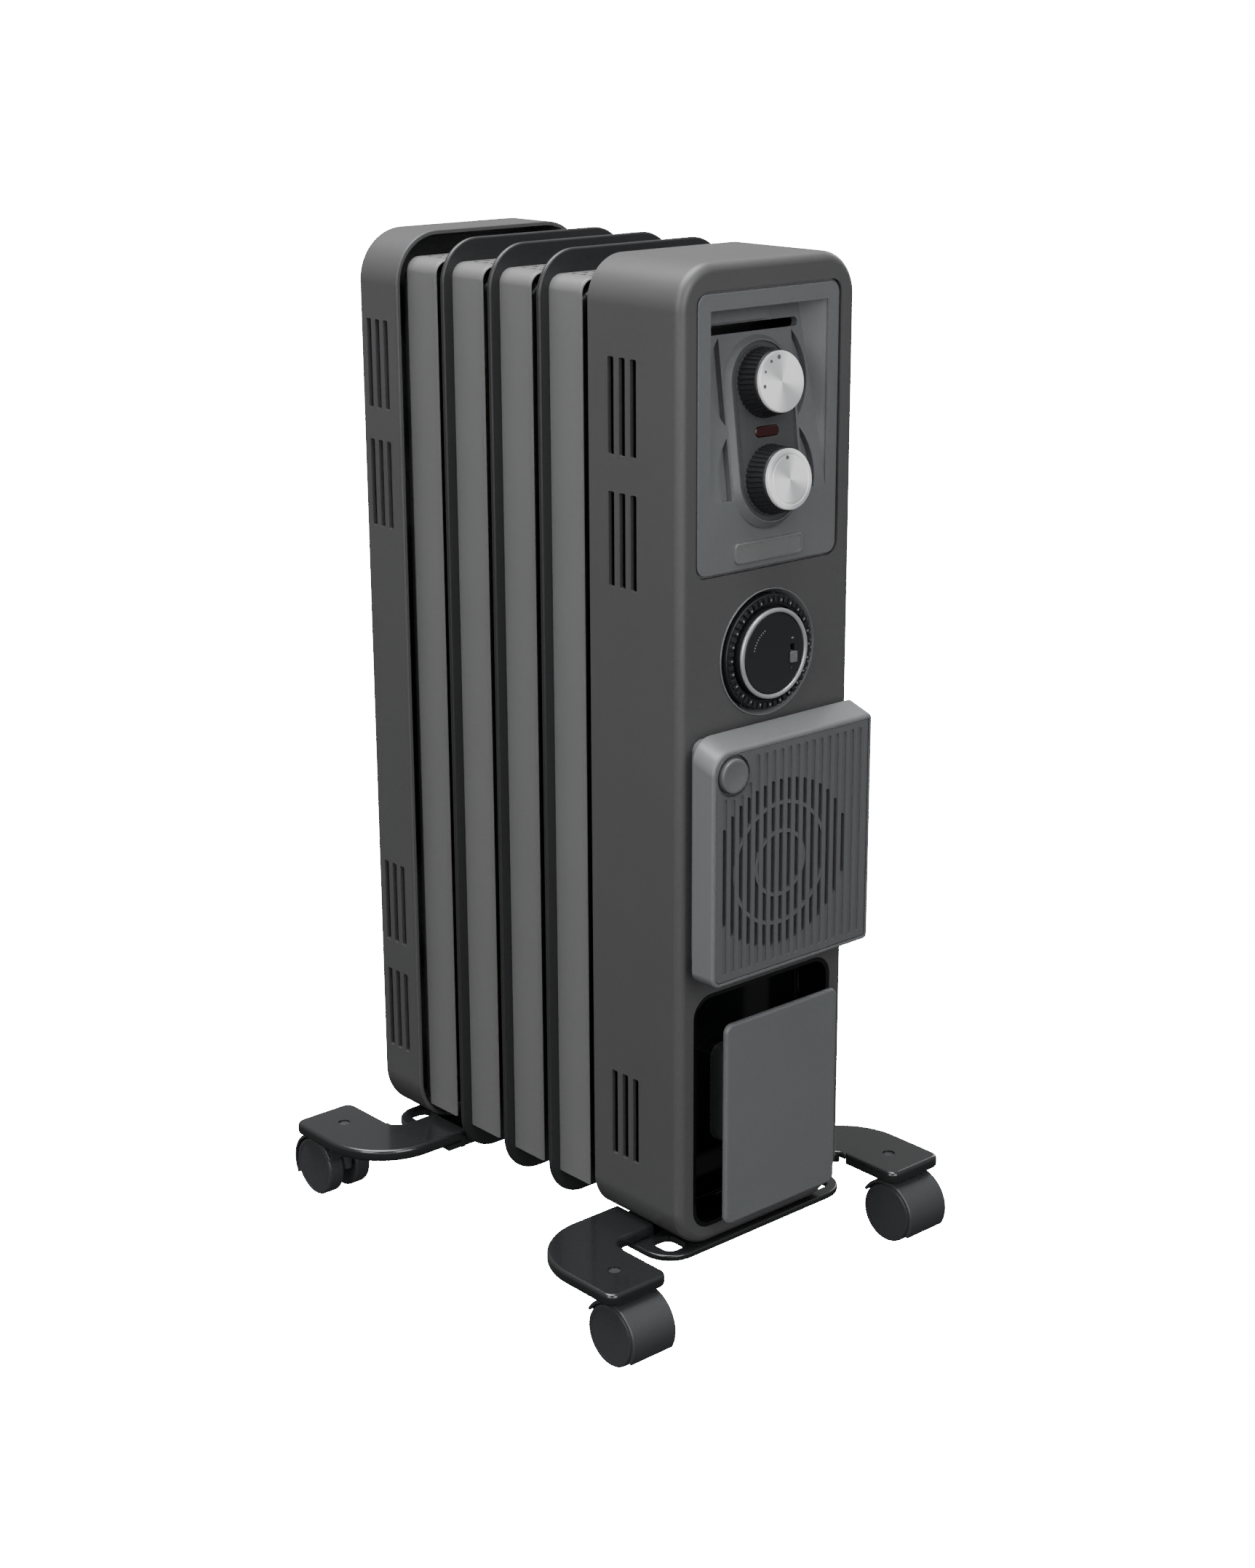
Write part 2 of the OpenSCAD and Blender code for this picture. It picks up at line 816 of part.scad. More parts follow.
// Shell of the fan module, with a narrower neck against the housing.
module fan_shell() {
    color(soft_grey)
        difference() {
            union() {
                slab(fan_w, [fan_z0, fan_z1], 9, [-fan_out, -fan_gap]);
                slab(fan_w - 2 * neck_in, [fan_z0 + neck_in, fan_z1 - neck_in], 7, [-fan_gap, 0]);
            }
            slab(fan_w - 2 * wall, [fan_z0 + wall, fan_z1 - wall], 9 - wall, [-fan_out - 1, -fan_gap - wall]);
            slab(fan_w - 2 * neck_in - 2 * wall, [fan_z0 + neck_in + wall, fan_z1 - neck_in - wall],
                 7 - wall, [-fan_gap - wall - 1, 1]);
        }
}

// Half the length of a grille slot at sideways distance x from the outlet's axis.
function chord(x) = sqrt(outlet_r * outlet_r - x * x);

// Grille with upright slots in a circle, crossed by two rings.
module fan_grille() {
    gw = fan_w - 2 * wall - 0.4;
    y0 = -fan_out + 0.2;
    y1 = y0 + 2.4;
    slots = floor((outlet_r - 2) / rib_pitch);
    color(soft_grey)
        difference() {
            union() {
                difference() {
                    slab(gw, [fan_z0 + wall + 0.2, fan_z1 - wall - 0.2], 9 - wall, [y0, y1]);
                    for (i = [-slots:slots])
                        box([outlet_x + i * rib_pitch - rib_slot / 2, outlet_x + i * rib_pitch + rib_slot / 2],
                            [y0 - 1, y1 + 1],
                            [outlet_z - chord(i * rib_pitch), outlet_z + chord(i * rib_pitch)]);
                }
                for (r = [outlet_r / 3, outlet_r * 0.67])
                    difference() {
                        rod(outlet_x, outlet_z, r + 1, [y0 + 0.3, y1]);
                        rod(outlet_x, outlet_z, r - 1, [y0 - 1, y1 + 1]);
                    }
                rod(button_x, button_z, button_r + 1.6, [y0 + 1, y1 + 5]);
            }
            rod(button_x, button_z, button_r + 0.08, [y0 - 2, y1 + 8]);
        }
}

// Push button that starts the fan.
module fan_button() {
    color(soft_grey)
        rod(button_x, button_z, button_r, [-fan_out - 2.5, -fan_out + 8]);
}

// Switch behind the fan button.
module fan_switch() {
    y = -fan_out + 8 + button_travel + 0.5;
    color([0.8, 0.8, 0.76])
        box([button_x - 5, button_x + 7], [y, -fan_gap - wall + 5], [button_z - 9, button_z + 3]);
}

// Ceramic air heater in front of the rotor.
module ptc_heater() {
    y0 = -fan_out + 5;
    y1 = -9;
    color(steel)
        difference() {
            box([outlet_x - 38, outlet_x + 38], [y0, y1], [outlet_z - 32, outlet_z + 32]);
            for (i = [-10:10])
                box([outlet_x + i * 3.4 - 1, outlet_x + i * 3.4 + 1], [y0 - 1, y1 + 1],
                    [outlet_z - 29, outlet_z + 29]);
        }
}

// Duct ring round the rotor, with the arms that hold the motor.
module fan_shroud() {
    color(near_black) {
        difference() {
            union() {
                rod(outlet_x, outlet_z, duct_r + duct_t, [-6, 15]);
                rod(outlet_x, outlet_z, duct_r + duct_t + 4, [wall, wall + 2]);
            }
            rod(outlet_x, outlet_z, duct_r, [-7, 16]);
        }
        difference() {
            translate([outlet_x, front_y + 12, outlet_z])
                for (a = [0, 90, 180, 270])
                    rotate([0, a, 0])
                        translate([20, 0, -3])
                            cube([duct_r - 19, 3, 6]);
            rod(outlet_x, outlet_z, 25.2, [0, 30]);
        }
        difference() {
            rod(outlet_x, outlet_z, 28, [12, 17]);
            rod(outlet_x, outlet_z, 25.2, [11, 18]);
        }
    }
}

// Fan motor.
module fan_motor() {
    color(steel)
        difference() {
            union() {
                rod(outlet_x, outlet_z, 25, [13, 36]);
                rod(outlet_x, outlet_z, 8, [35, 40]);
            }
            rod(outlet_x, outlet_z, motor_shaft_r + running, [12, 37]);
        }
}

// Axial rotor with its shaft.
module fan_rotor() {
    blades = 7;
    color([0.7, 0.7, 0.7]) {
        rod(outlet_x, outlet_z, 14, [-4, 10]);
        rod(outlet_x, outlet_z, motor_shaft_r, [9, 36]);
        translate([outlet_x, front_y + 3, outlet_z])
            for (i = [0:blades - 1])
                rotate([0, i * 360 / blades, 0])
                    translate([12, 0, 0])
                        rotate([35, 0, 0])
                            translate([0, -0.8, -8])
                                cube([rotor_r - 13, 1.6, 16]);
    }
}

// Cup of the cord store.
module cord_recess() {
    color(near_black)
        difference() {
            union() {
                slab(recess_w - 0.4, [recess_z0 + 0.2, recess_z1 - 0.2], 13.8, [0.3, recess_d]);
            }
            slab(recess_w - 0.4 - 2 * wall, [recess_z0 + 0.2 + wall, recess_z1 - 0.2 - wall],
                 13.8 - wall, [-1, recess_d - wall]);
            rod(inlet_x, inlet_z, inlet_r + 1.5, [recess_d - 5, recess_d + 1]);
        }
}

// Flap that the cord is wound behind, with its post.
module cord_flap() {
    mid = (flap_z0 + flap_z1) / 2;
    color(soft_grey) {
        slab(flap_w, [flap_z0, flap_z1], 6, [-flap_out, -flap_out + flap_t]);
        difference() {
            slab(post_w, [mid - 32, mid + 32], 8, [-flap_out + flap_t - 1, recess_d - wall]);
            slab(post_w - 2 * wall, [mid - 32 + wall, mid + 32 - wall], 8 - wall,
                 [-flap_out + flap_t, recess_d]);
        }
    }
}

// Bush that the supply cord comes in through.
module cord_inlet() {
    color(near_black)
        difference() {
            union() {
                rod(inlet_x, inlet_z, inlet_r + 1.4, [recess_d - 6, recess_d + 6]);
                rod(inlet_x, inlet_z, inlet_r + 2.2, [recess_d + 0.1, recess_d + 3]);
            }
            rod(inlet_x, inlet_z, inlet_r, [recess_d - 7, recess_d + 7]);
        }
}

// Plan of a foot's right arm from the step at x; inset shrinks it all round.
module arm_plan(step, inset) {
    arc_r = pad_w - inset;
    corner = 7;
    translate([pad_x0 + inset, pad_v0 + inset + corner])
        square([pad_w - 2 * inset, arc_v - pad_v0 - inset - corner]);
    translate([pad_x0 + inset + corner, pad_v0 + inset])
        square([pad_w - 2 * inset - 2 * corner, corner + 1]);
    for (x = [pad_x0 + inset + corner, pad_x1 - inset - corner])
        translate([x, pad_v0 + inset + corner])
            circle(corner);
    intersection() {
        translate([pad_x0, arc_v])
            circle(arc_r);
        translate([pad_x0 + inset, arc_v - 1])
            square(pad_w + 2);
    }
    difference() {
        translate([pad_x0 - 10, arc_v])
            square([10 + inset + 1, pad_w - inset]);
        translate([pad_x0 - 10, arc_v])
            circle(10 + inset);
    }
    translate([step, band_v + inset])
        square([pad_x0 - 9 - step, pad_w - 10 - 2 * inset]);
}

// Foot bracket under one end; its pins stand on y = 0 and the tongue reaches under the columns.
module foot(tongue, step) {
    depth = foot_depth;
    color(graphite)
        difference() {
            union() {
                translate([0, -lip_v, saddle_z0])
                    linear_extrude(saddle_z1 - saddle_z0)
                        difference() {
                            rounded_rect(2 * lip_x, depth + lip_v, 20);
                            for (side = [-1, 1])
                                translate([side * (lip_x - 17), 8])
                                    rounded_rect(16, band_v - 9, 6);
                        }
                translate([-28, depth - 4, saddle_z0])
                    cube([56, tongue + 4, saddle_z1 - saddle_z0]);
                for (side = [0, 1])
                    mirror([side, 0, 0]) {
                        translate([0, 0, foot_top - foot_t])
                            linear_extrude(foot_t)
                                arm_plan(step, 0);
                        translate([0, 0, rim_z])
                            linear_extrude(foot_rim)
                                difference() {
                                    arm_plan(step, 0);
                                    arm_plan(step, 3.5);
                                }
                        translate([step, band_v, saddle_z0])
                            cube([3.5, pad_w - 10, foot_top - saddle_z0]);
                        translate([pin_span / 2, 0, rim_z + 0.4])
                            cylinder(r = 9, h = foot_rim - 1);
                    }
            }
            for (side = [-1, 1])
                translate([side * pin_span / 2, 0, 0])
                    cylinder(r = pin_r + running, h = foot_top + 10);
            for (x = [-clamp_x, clamp_x])
                translate([x, depth + tongue - clamp_back, 0])
                    cylinder(r = clamp_r + 0.4, h = foot_top);
        }
}

// Foot under the front housing.
module front_foot() {
    translate([0, front_y + pin_front, 0])
        foot(front_tongue, step_x(housing_w, housing_r));
}

// Foot under the rear cover.
module rear_foot() {
    translate([0, front_y + pin_rear, 0])
        rotate([0, 0, 180])
            foot(rear_tongue, step_x(cover_w, cover_r));
}

// U clamps that hold the feet to the lower collars, with their wing nuts.
module foot_clamps() {
    color(steel)
        for (y = [fin_y(1) + fin_pitch / 2, fin_y(fin_count) - fin_pitch / 2])
            translate([0, front_y + y, 0]) {
                translate([0, 0, collar_z0])
                    rotate([90, 0, 0])
                        rotate_extrude(angle = 180)
                            translate([clamp_x, 0])
                                circle(clamp_r);
                for (x = [-clamp_x, clamp_x]) {
                    translate([x, 0, saddle_z0 - 8])
                        cylinder(r = clamp_r, h = collar_z0 - saddle_z0 + 8);
                    translate([x, 0, saddle_z0 - 6])
                        cylinder(r = 6, h = 5.9);
                    translate([x - 9, -1.2, saddle_z0 - 7])
                        cube([18, 2.4, 6]);
                }
            }
}

// Swivelling fork and hood of a caster; the pin stands on the origin and the wheels lie towards -y.
module caster_fork() {
    color(near_black)
        difference() {
            union() {
                cylinder_between(pin_r, wheel_r + 4, foot_top - 1.2);
                cylinder_between(8, rim_z - 3.4, caster_top);
                cylinder_between(web_x, wheel_r, rim_z - 3);
                translate([0, -trail, wheel_r])
                    rotate([0, 90, 0]) {
                        difference() {
                            translate([0, 0, -hood_x])
                                hood_sector(hood_r, 2 * hood_x);
                            translate([0, 0, -hood_x - 1])
                                cylinder(r = hood_r - hood_t, h = 2 * hood_x + 2);
                        }
                        translate([0, 0, -web_x])
                            hood_sector(hood_r - hood_t / 2, 2 * web_x);
                        translate([0, 0, -web_x])
                            cylinder(r = axle_r + 4, h = 2 * web_x);
                    }
            }
            translate([-50, -trail, wheel_r])
                rotate([0, 90, 0])
                    cylinder(r = axle_r + running, h = 100);
        }
}

// Upright cylinder between two heights.
module cylinder_between(r, z0, z1) {
    translate([0, 0, z0])
        cylinder(r = r, h = z1 - z0);
}

// Pie from the pin's side, over the top, to low on the outer side.
module hood_sector(r, w) {
    rotate([0, 0, 120])
        rotate_extrude(angle = 185)
            square([r, w]);
}

// Pair of wheels pressed on one axle.
module wheel_pair() {
    color(near_black)
        translate([0, -trail, wheel_r])
            rotate([0, 90, 0]) {
                for (x = [wheel_x0, -wheel_x1])
                    translate([0, 0, x])
                        cylinder(r = wheel_r, h = wheel_t);
                translate([0, 0, -wheel_x0 - 1])
                    cylinder(r = axle_r, h = 2 * wheel_x0 + 2);
            }
}

// Places its children at a caster pin; side is -1 or 1 and rear turns them to the back.
module at_pin(side, rear) {
    translate([side * pin_span / 2, front_y + (rear ? pin_rear : pin_front), 0])
        rotate([0, 0, rear ? 180 : 0])
            children();
}

front_housing();
rear_cover();
fin(1);  // fin_1
fin(2);  // fin_2
fin(3);  // fin_3
fin(4);  // fin_4
fin(5);  // fin_5
header_collars();
filler_plug();
oil_charge();
heating_element();
housing_screws();
thermal_cutout();
column_cover(2);  // column_cover_2
column_cover(3);  // column_cover_3
column_cover(4);  // column_cover_4
column_cover(5);  // column_cover_5
heat_shield();
control_panel();
badge();
lamp_lens();
indicator_lamp();
rotary_switch();
thermostat();
terminal_block();
wiring_loom();
knob_skirt(knob_s[1]);  // mode_knob
knob_cap(knob_s[1]);  // mode_cap
control_shaft(knob_s[1]);  // mode_shaft
knob_skirt(knob_s[0]);  // thermostat_knob
knob_cap(knob_s[0]);  // thermostat_cap
control_shaft(knob_s[0]);  // thermostat_shaft
timer_bezel();
timer_movement();
timer_centre();
timer_dial();
timer_ring();
timer_override();
fan_shell();
fan_grille();
fan_button();
fan_switch();
ptc_heater();
fan_shroud();
fan_motor();
fan_rotor();
cord_recess();
cord_flap();
cord_inlet();
front_foot();
rear_foot();
foot_clamps();
at_pin(-1, false) caster_fork();  // caster_front_left
at_pin(1, false) caster_fork();  // caster_front_right
at_pin(-1, true) caster_fork();  // caster_rear_left
at_pin(1, true) caster_fork();  // caster_rear_right
at_pin(-1, false) wheel_pair();  // wheels_front_left
at_pin(1, false) wheel_pair();  // wheels_front_right
at_pin(-1, true) wheel_pair();  // wheels_rear_left
at_pin(1, true) wheel_pair();  // wheels_rear_right
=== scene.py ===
"""Visual model of an oil filled radiator heater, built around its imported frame."""
import logging
import math
from collections.abc import Iterable, Sequence
from dataclasses import dataclass, field
from enum import Enum
from typing import Any

import bmesh
import bpy
from mathutils import Matrix, Vector


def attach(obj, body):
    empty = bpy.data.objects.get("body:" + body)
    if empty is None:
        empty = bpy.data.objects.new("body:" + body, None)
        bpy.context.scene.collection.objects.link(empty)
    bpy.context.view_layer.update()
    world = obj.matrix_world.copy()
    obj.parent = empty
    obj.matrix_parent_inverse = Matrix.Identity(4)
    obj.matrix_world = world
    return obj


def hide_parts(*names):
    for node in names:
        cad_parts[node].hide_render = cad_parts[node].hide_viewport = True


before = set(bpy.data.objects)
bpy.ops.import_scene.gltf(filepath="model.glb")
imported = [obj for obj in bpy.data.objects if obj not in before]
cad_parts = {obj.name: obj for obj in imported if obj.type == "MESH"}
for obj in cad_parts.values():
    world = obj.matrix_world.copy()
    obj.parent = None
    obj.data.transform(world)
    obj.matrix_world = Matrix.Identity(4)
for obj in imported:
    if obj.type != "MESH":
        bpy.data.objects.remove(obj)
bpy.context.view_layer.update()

LOG = logging.getLogger("heater")
MM = 0.001
FRONT = -141.0
SCOOP_FOOT = 503.0
SCOOP_TILT = 7.8
TIMER_Z = 412.0
FAN_X = -10.0
FAN_Z = 290.0
PIN_X = 119.0
HEATER = "heater"

Mesh = bmesh.types.BMesh
Span = tuple[float, float]


class Side(Enum):
    """Which end of the heater a piece belongs to."""

    FRONT = 1.0
    REAR = -1.0


class Operation(Enum):
    """How one solid is combined with another."""

    CUT = "DIFFERENCE"
    JOIN = "UNION"
    KEEP = "INTERSECT"


PIN_DEPTHS = {Side.FRONT: 2.4, Side.REAR: 279.6}


# --- Meshes -------------------------------------------------------------------


def place_matrix(x: float = 0.0, depth: float = 0.0, z: float = 0.0) -> Matrix:
    """Place in the row frame, in metres, from millimetres and a depth behind the front face."""
    return Matrix.Translation(Vector((x, FRONT + depth, z)) * MM)


def scoop_matrix(height: float = 0.0, out: float = 0.0) -> Matrix:
    """Place on the scoop's sloping floor.

    Args:
        height: Distance up the floor from its lower edge, in millimetres.
        out: Distance in front of the floor, in millimetres.

    Returns:
        A matrix whose local -Y stands out of the floor and whose Z runs up it.
    """
    turn = Matrix.Rotation(math.radians(-SCOOP_TILT), 4, "X")
    return place_matrix(z=SCOOP_FOOT) @ turn @ Matrix.Translation(Vector((0, -out, height)) * MM)


def round_edges(bm: Mesh, edges: Iterable[bmesh.types.BMEdge], width: float, segments: int) -> None:
    """Rounds edges by a width in millimetres with that many segments."""
    bmesh.ops.bevel(bm, geom=list(edges), offset=width * MM, offset_type="OFFSET", segments=segments,
                    profile=0.5, affect="EDGES", material=-1, clamp_overlap=False)


def is_along(edge: bmesh.types.BMEdge, axis: int) -> bool:
    """Whether an edge runs along one axis."""
    way = (edge.verts[0].co - edge.verts[1].co).normalized()
    return abs(way[axis]) > 0.999


def lies_at(edge: bmesh.types.BMEdge, axis: int, value: float) -> bool:
    """Whether both ends of an edge lie at a value, in metres, on one axis."""
    return all(abs(vert.co[axis] - value) < 1e-6 for vert in edge.verts)


def block(x: Span, y: Span, z: Span) -> Mesh:
    """Box between two corners in millimetres."""
    bm = bmesh.new()
    bmesh.ops.create_cube(bm, size=1.0)
    bmesh.ops.scale(bm, vec=Vector((x[1] - x[0], y[1] - y[0], z[1] - z[0])) * MM, verts=bm.verts)
    middle = Vector((x[0] + x[1], y[0] + y[1], z[0] + z[1])) * MM / 2
    bmesh.ops.translate(bm, vec=middle, verts=bm.verts)
    return bm


def slab(x: Span, y: Span, z: Span, corner: float, front: float = 0.0, back: float = 0.0,
         steps: int = 10, axis: int = 1, edge_steps: int = 4) -> Mesh:
    """Box with four round corners and, where asked, round front and back outlines.

    Args:
        x: Left and right, in millimetres.
        y: Front and back, in millimetres.
        z: Bottom and top, in millimetres.
        corner: Radius of the four edges that run along the axis.
        front: Radius of the outline at the axis's low end.
        back: Radius of the outline at the axis's high end.
        steps: Segments in a corner.
        axis: Axis that the round corners run along.
        edge_steps: Segments in the round outlines.

    Returns:
        A closed mesh.
    """
    bm = block(x, y, z)
    if corner > 0:
        round_edges(bm, [e for e in bm.edges if is_along(e, axis)], corner, steps)
    span = (x, y, z)[axis]
    for value, width in ((span[0], front), (span[1], back)):
        if width > 0:
            round_edges(bm, [e for e in bm.edges if lies_at(e, axis, value * MM)], width, edge_steps)
    return bm


def rod(radius: float, y: Span, x: float = 0.0, z: float = 0.0, front: float = 0.0, back: float = 0.0,
        steps: int = 64, edge_steps: int = 3) -> Mesh:
    """Cylinder along Y with rounded rims where asked, all in millimetres."""
    bm = bmesh.new()
    bmesh.ops.create_cone(bm, cap_ends=True, segments=steps, radius1=radius * MM, radius2=radius * MM,
                          depth=(y[1] - y[0]) * MM, matrix=Matrix.Rotation(math.pi / 2, 4, "X"))
    bmesh.ops.translate(bm, vec=Vector((x, (y[0] + y[1]) / 2, z)) * MM, verts=bm.verts)
    for value, width in ((y[0], front), (y[1], back)):
        if width > 0:
            round_edges(bm, [e for e in bm.edges if lies_at(e, 1, value * MM)], width, edge_steps)
    return bm


def turned(profile: Sequence[Span], x: float = 0.0, z: float = 0.0, steps: int = 96,
           closed: bool = True) -> Mesh:
    """Solid turned about an axis along Y.

    Args:
        profile: Points of radius and y, in millimetres.
        x: Sideways place of the axis.
        z: Height of the axis.
        steps: Segments round the axis.
        closed: Whether the last point joins the first.

    Returns:
        A mesh with its doubles merged and its normals pointing outwards.
    """
    bm = bmesh.new()
    verts = [bm.verts.new(Vector((radius, y, 0)) * MM) for radius, y in profile]
    pairs = list(zip(verts, verts[1:])) + ([(verts[-1], verts[0])] if closed else [])
    edges = [bm.edges.new(pair) for pair in pairs]
    bmesh.ops.spin(bm, geom=verts + edges, cent=(0, 0, 0), axis=(0, 1, 0), angle=2 * math.pi,
                   steps=steps, use_merge=True)
    bmesh.ops.remove_doubles(bm, verts=bm.verts, dist=1e-6)
    bmesh.ops.recalc_face_normals(bm, faces=bm.faces)
    bmesh.ops.translate(bm, vec=Vector((x, 0, z)) * MM, verts=bm.verts)
    return bm


def stadium(front_radius: float, back_radius: float, y: Span, ends: Span) -> Mesh:
    """Long rounded block whose outline may grow from front to back.

    Args:
        front_radius: Radius of its ends at the front, in millimetres.
        back_radius: Radius of its ends at the back.
        y: Front and back.
        ends: Heights of the two end circles.

    Returns:
        A closed convex mesh.
    """
    bm = bmesh.new()
    for z in ends:
        for value, radius in zip(y, (front_radius, back_radius)):
            bmesh.ops.create_circle(bm, cap_ends=False, segments=72, radius=radius * MM,
                                    matrix=Matrix.Translation(Vector((0, value, z)) * MM)
                                    @ Matrix.Rotation(math.pi / 2, 4, "X"))
    wrapped = bmesh.ops.convex_hull(bm, input=bm.verts)
    inside = [item for item in wrapped["geom_interior"] if isinstance(item, bmesh.types.BMVert)]
    bmesh.ops.delete(bm, geom=inside, context="VERTS")
    bmesh.ops.recalc_face_normals(bm, faces=bm.faces)
    bmesh.ops.dissolve_limit(bm, angle_limit=math.radians(0.5), verts=bm.verts, edges=bm.edges)
    return bm


def moved(bm: Mesh, matrix: Matrix) -> Mesh:
    """The same mesh after a transform."""
    bmesh.ops.transform(bm, matrix=matrix, verts=bm.verts)
    if matrix.determinant() < 0:
        bmesh.ops.reverse_faces(bm, faces=bm.faces)
    return bm


def behind_front(bm: Mesh) -> Mesh:
    """The same mesh, moved from depths behind the front face to the row frame."""
    return moved(bm, place_matrix())


def gather(parts: Iterable[Mesh]) -> Mesh:
    """One mesh that holds several, which are freed."""
    whole = bmesh.new()
    for part in parts:
        data = bpy.data.meshes.new("part")
        part.to_mesh(data)
        part.free()
        whole.from_mesh(data)
        bpy.data.meshes.remove(data)
    return whole


def scratch_object(bm: Mesh) -> bpy.types.Object:
    """Object for a mesh that is only needed for one step; the mesh is freed."""
    data = bpy.data.meshes.new("scratch")
    bm.to_mesh(data)
    bm.free()
    obj = bpy.data.objects.new("scratch", data)
    bpy.context.scene.collection.objects.link(obj)
    return obj


def settled(obj: bpy.types.Object) -> bpy.types.Mesh:
    """The mesh of an object after its modifiers."""
    graph = bpy.context.evaluated_depsgraph_get()
    return bpy.data.meshes.new_from_object(obj.evaluated_get(graph))


def discard(*objects: bpy.types.Object) -> None:
    """Removes scratch objects and their meshes."""
    for obj in objects:
        data = obj.data
        bpy.data.objects.remove(obj)
        bpy.data.meshes.remove(data)


def combine(solid: Mesh, other: Mesh, operation: Operation = Operation.CUT) -> Mesh:
    """Boolean of two solids, both of which are freed.

    Args:
        solid: The solid to change.
        other: The solid that cuts, joins or bounds it.
        operation: What is done.

    Returns:
        The resulting mesh.
    """
    base, tool = scratch_object(solid), scratch_object(other)
    change = base.modifiers.new("change", "BOOLEAN")
    change.operation = operation.value
    change.solver = "EXACT"
    change.object = tool
    data = settled(base)
    result = bmesh.new()
    result.from_mesh(data)
    bpy.data.meshes.remove(data)
    discard(base, tool)
    bmesh.ops.remove_doubles(result, verts=result.verts, dist=2e-6)
    bmesh.ops.dissolve_degenerate(result, edges=result.edges, dist=2e-6)
    return result


# --- Materials ----------------------------------------------------------------


def linear(hex_colour: str, alpha: float = 1.0) -> tuple[float, float, float, float]:
    """Linear colour from an sRGB hex value."""
    parts = [int(hex_colour[i:i + 2], 16) / 255 for i in (1, 3, 5)]
    red, green, blue = (p / 12.92 if p <= 0.04045 else ((p + 0.055) / 1.055) ** 2.4 for p in parts)
    return red, green, blue, alpha


def add_node(tree: bpy.types.NodeTree, kind: str, inputs: dict[Any, Any] | None = None,
             **settings: Any) -> bpy.types.Node:
    """Adds a node with its settings, values and links.

    Args:
        tree: The node tree.
        kind: The node's type.
        inputs: Input name or index to a value or to the socket that feeds it.
        **settings: The node's own properties.

    Returns:
        The new node.
    """
    node = tree.nodes.new(kind)
    for name, value in settings.items():
        setattr(node, name, value)
    for key, value in (inputs or {}).items():
        if isinstance(value, bpy.types.NodeSocket):
            tree.links.new(value, node.inputs[key])
        else:
            node.inputs[key].default_value = value
    return node


@dataclass(frozen=True)
class Finish:
    """A surface as it comes from its maker: tone, gloss, grain and a little unevenness."""

    name: str
    tone: str
    shade: str
    roughness: float
    metallic: float = 0.0
    ior: float = 1.5
    grain_mm: float = 0.6
    grain_height: float = 0.02
    cloud_mm: float = 60.0
    roughness_spread: float = 0.05
    coat: float = 0.0
    coat_roughness: float = 0.1
    transmission: float = 0.0

    def material(self) -> bpy.types.Material:
        """The material, built once and then shared."""
        known = bpy.data.materials.get(self.name)
        if known:
            return known
        made = bpy.data.materials.new(self.name)
        made.use_nodes = True
        tree = made.node_tree
        tree.nodes.clear()
        values: dict[Any, Any] = {"Metallic": self.metallic, "Coat Weight": self.coat,
                                  "Coat Roughness": self.coat_roughness,
                                  "Transmission Weight": self.transmission}
        if self.metallic == 0.0:
            values["IOR"] = self.ior
        values.update(self.surface(tree))
        shader = add_node(tree, "ShaderNodeBsdfPrincipled", values)
        add_node(tree, "ShaderNodeOutputMaterial", {"Surface": shader.outputs["BSDF"]})
        return made

    def surface(self, tree: bpy.types.NodeTree) -> dict[Any, Any]:
        """Colour, roughness and bump inputs of the shader.

        Args:
            tree: The material's node tree.

        Returns:
            Shader input name to value or socket.
        """
        place = add_node(tree, "ShaderNodeTexCoord").outputs["Object"]
        cloud = add_node(tree, "ShaderNodeTexNoise", {"Vector": place, "Scale": 1 / (self.cloud_mm * MM),
                                                      "Detail": 3.0, "Roughness": 0.55})
        colour = add_node(tree, "ShaderNodeMix", {0: cloud.outputs["Fac"], 6: linear(self.tone),
                                                  7: linear(self.shade)}, data_type="RGBA")
        gloss = add_node(tree, "ShaderNodeMapRange",
                         {"Value": cloud.outputs["Fac"], "To Min": self.roughness - self.roughness_spread,
                          "To Max": self.roughness + self.roughness_spread})
        return {"Base Color": colour.outputs[2], "Roughness": gloss.outputs["Result"],
                "Normal": self.relief(tree, place)}

    def relief(self, tree: bpy.types.NodeTree, place: bpy.types.NodeSocket) -> bpy.types.NodeSocket:
        """Fine grain as bump, from a noise at the grain's size."""
        grain = add_node(tree, "ShaderNodeTexNoise", {"Vector": place, "Scale": 1 / (self.grain_mm * MM),
                                                      "Detail": 2.0, "Roughness": 0.6})
        bump = add_node(tree, "ShaderNodeBump", {"Height": grain.outputs["Fac"], "Strength": 0.35,
                                                 "Distance": self.grain_height * MM})
        return bump.outputs["Normal"]


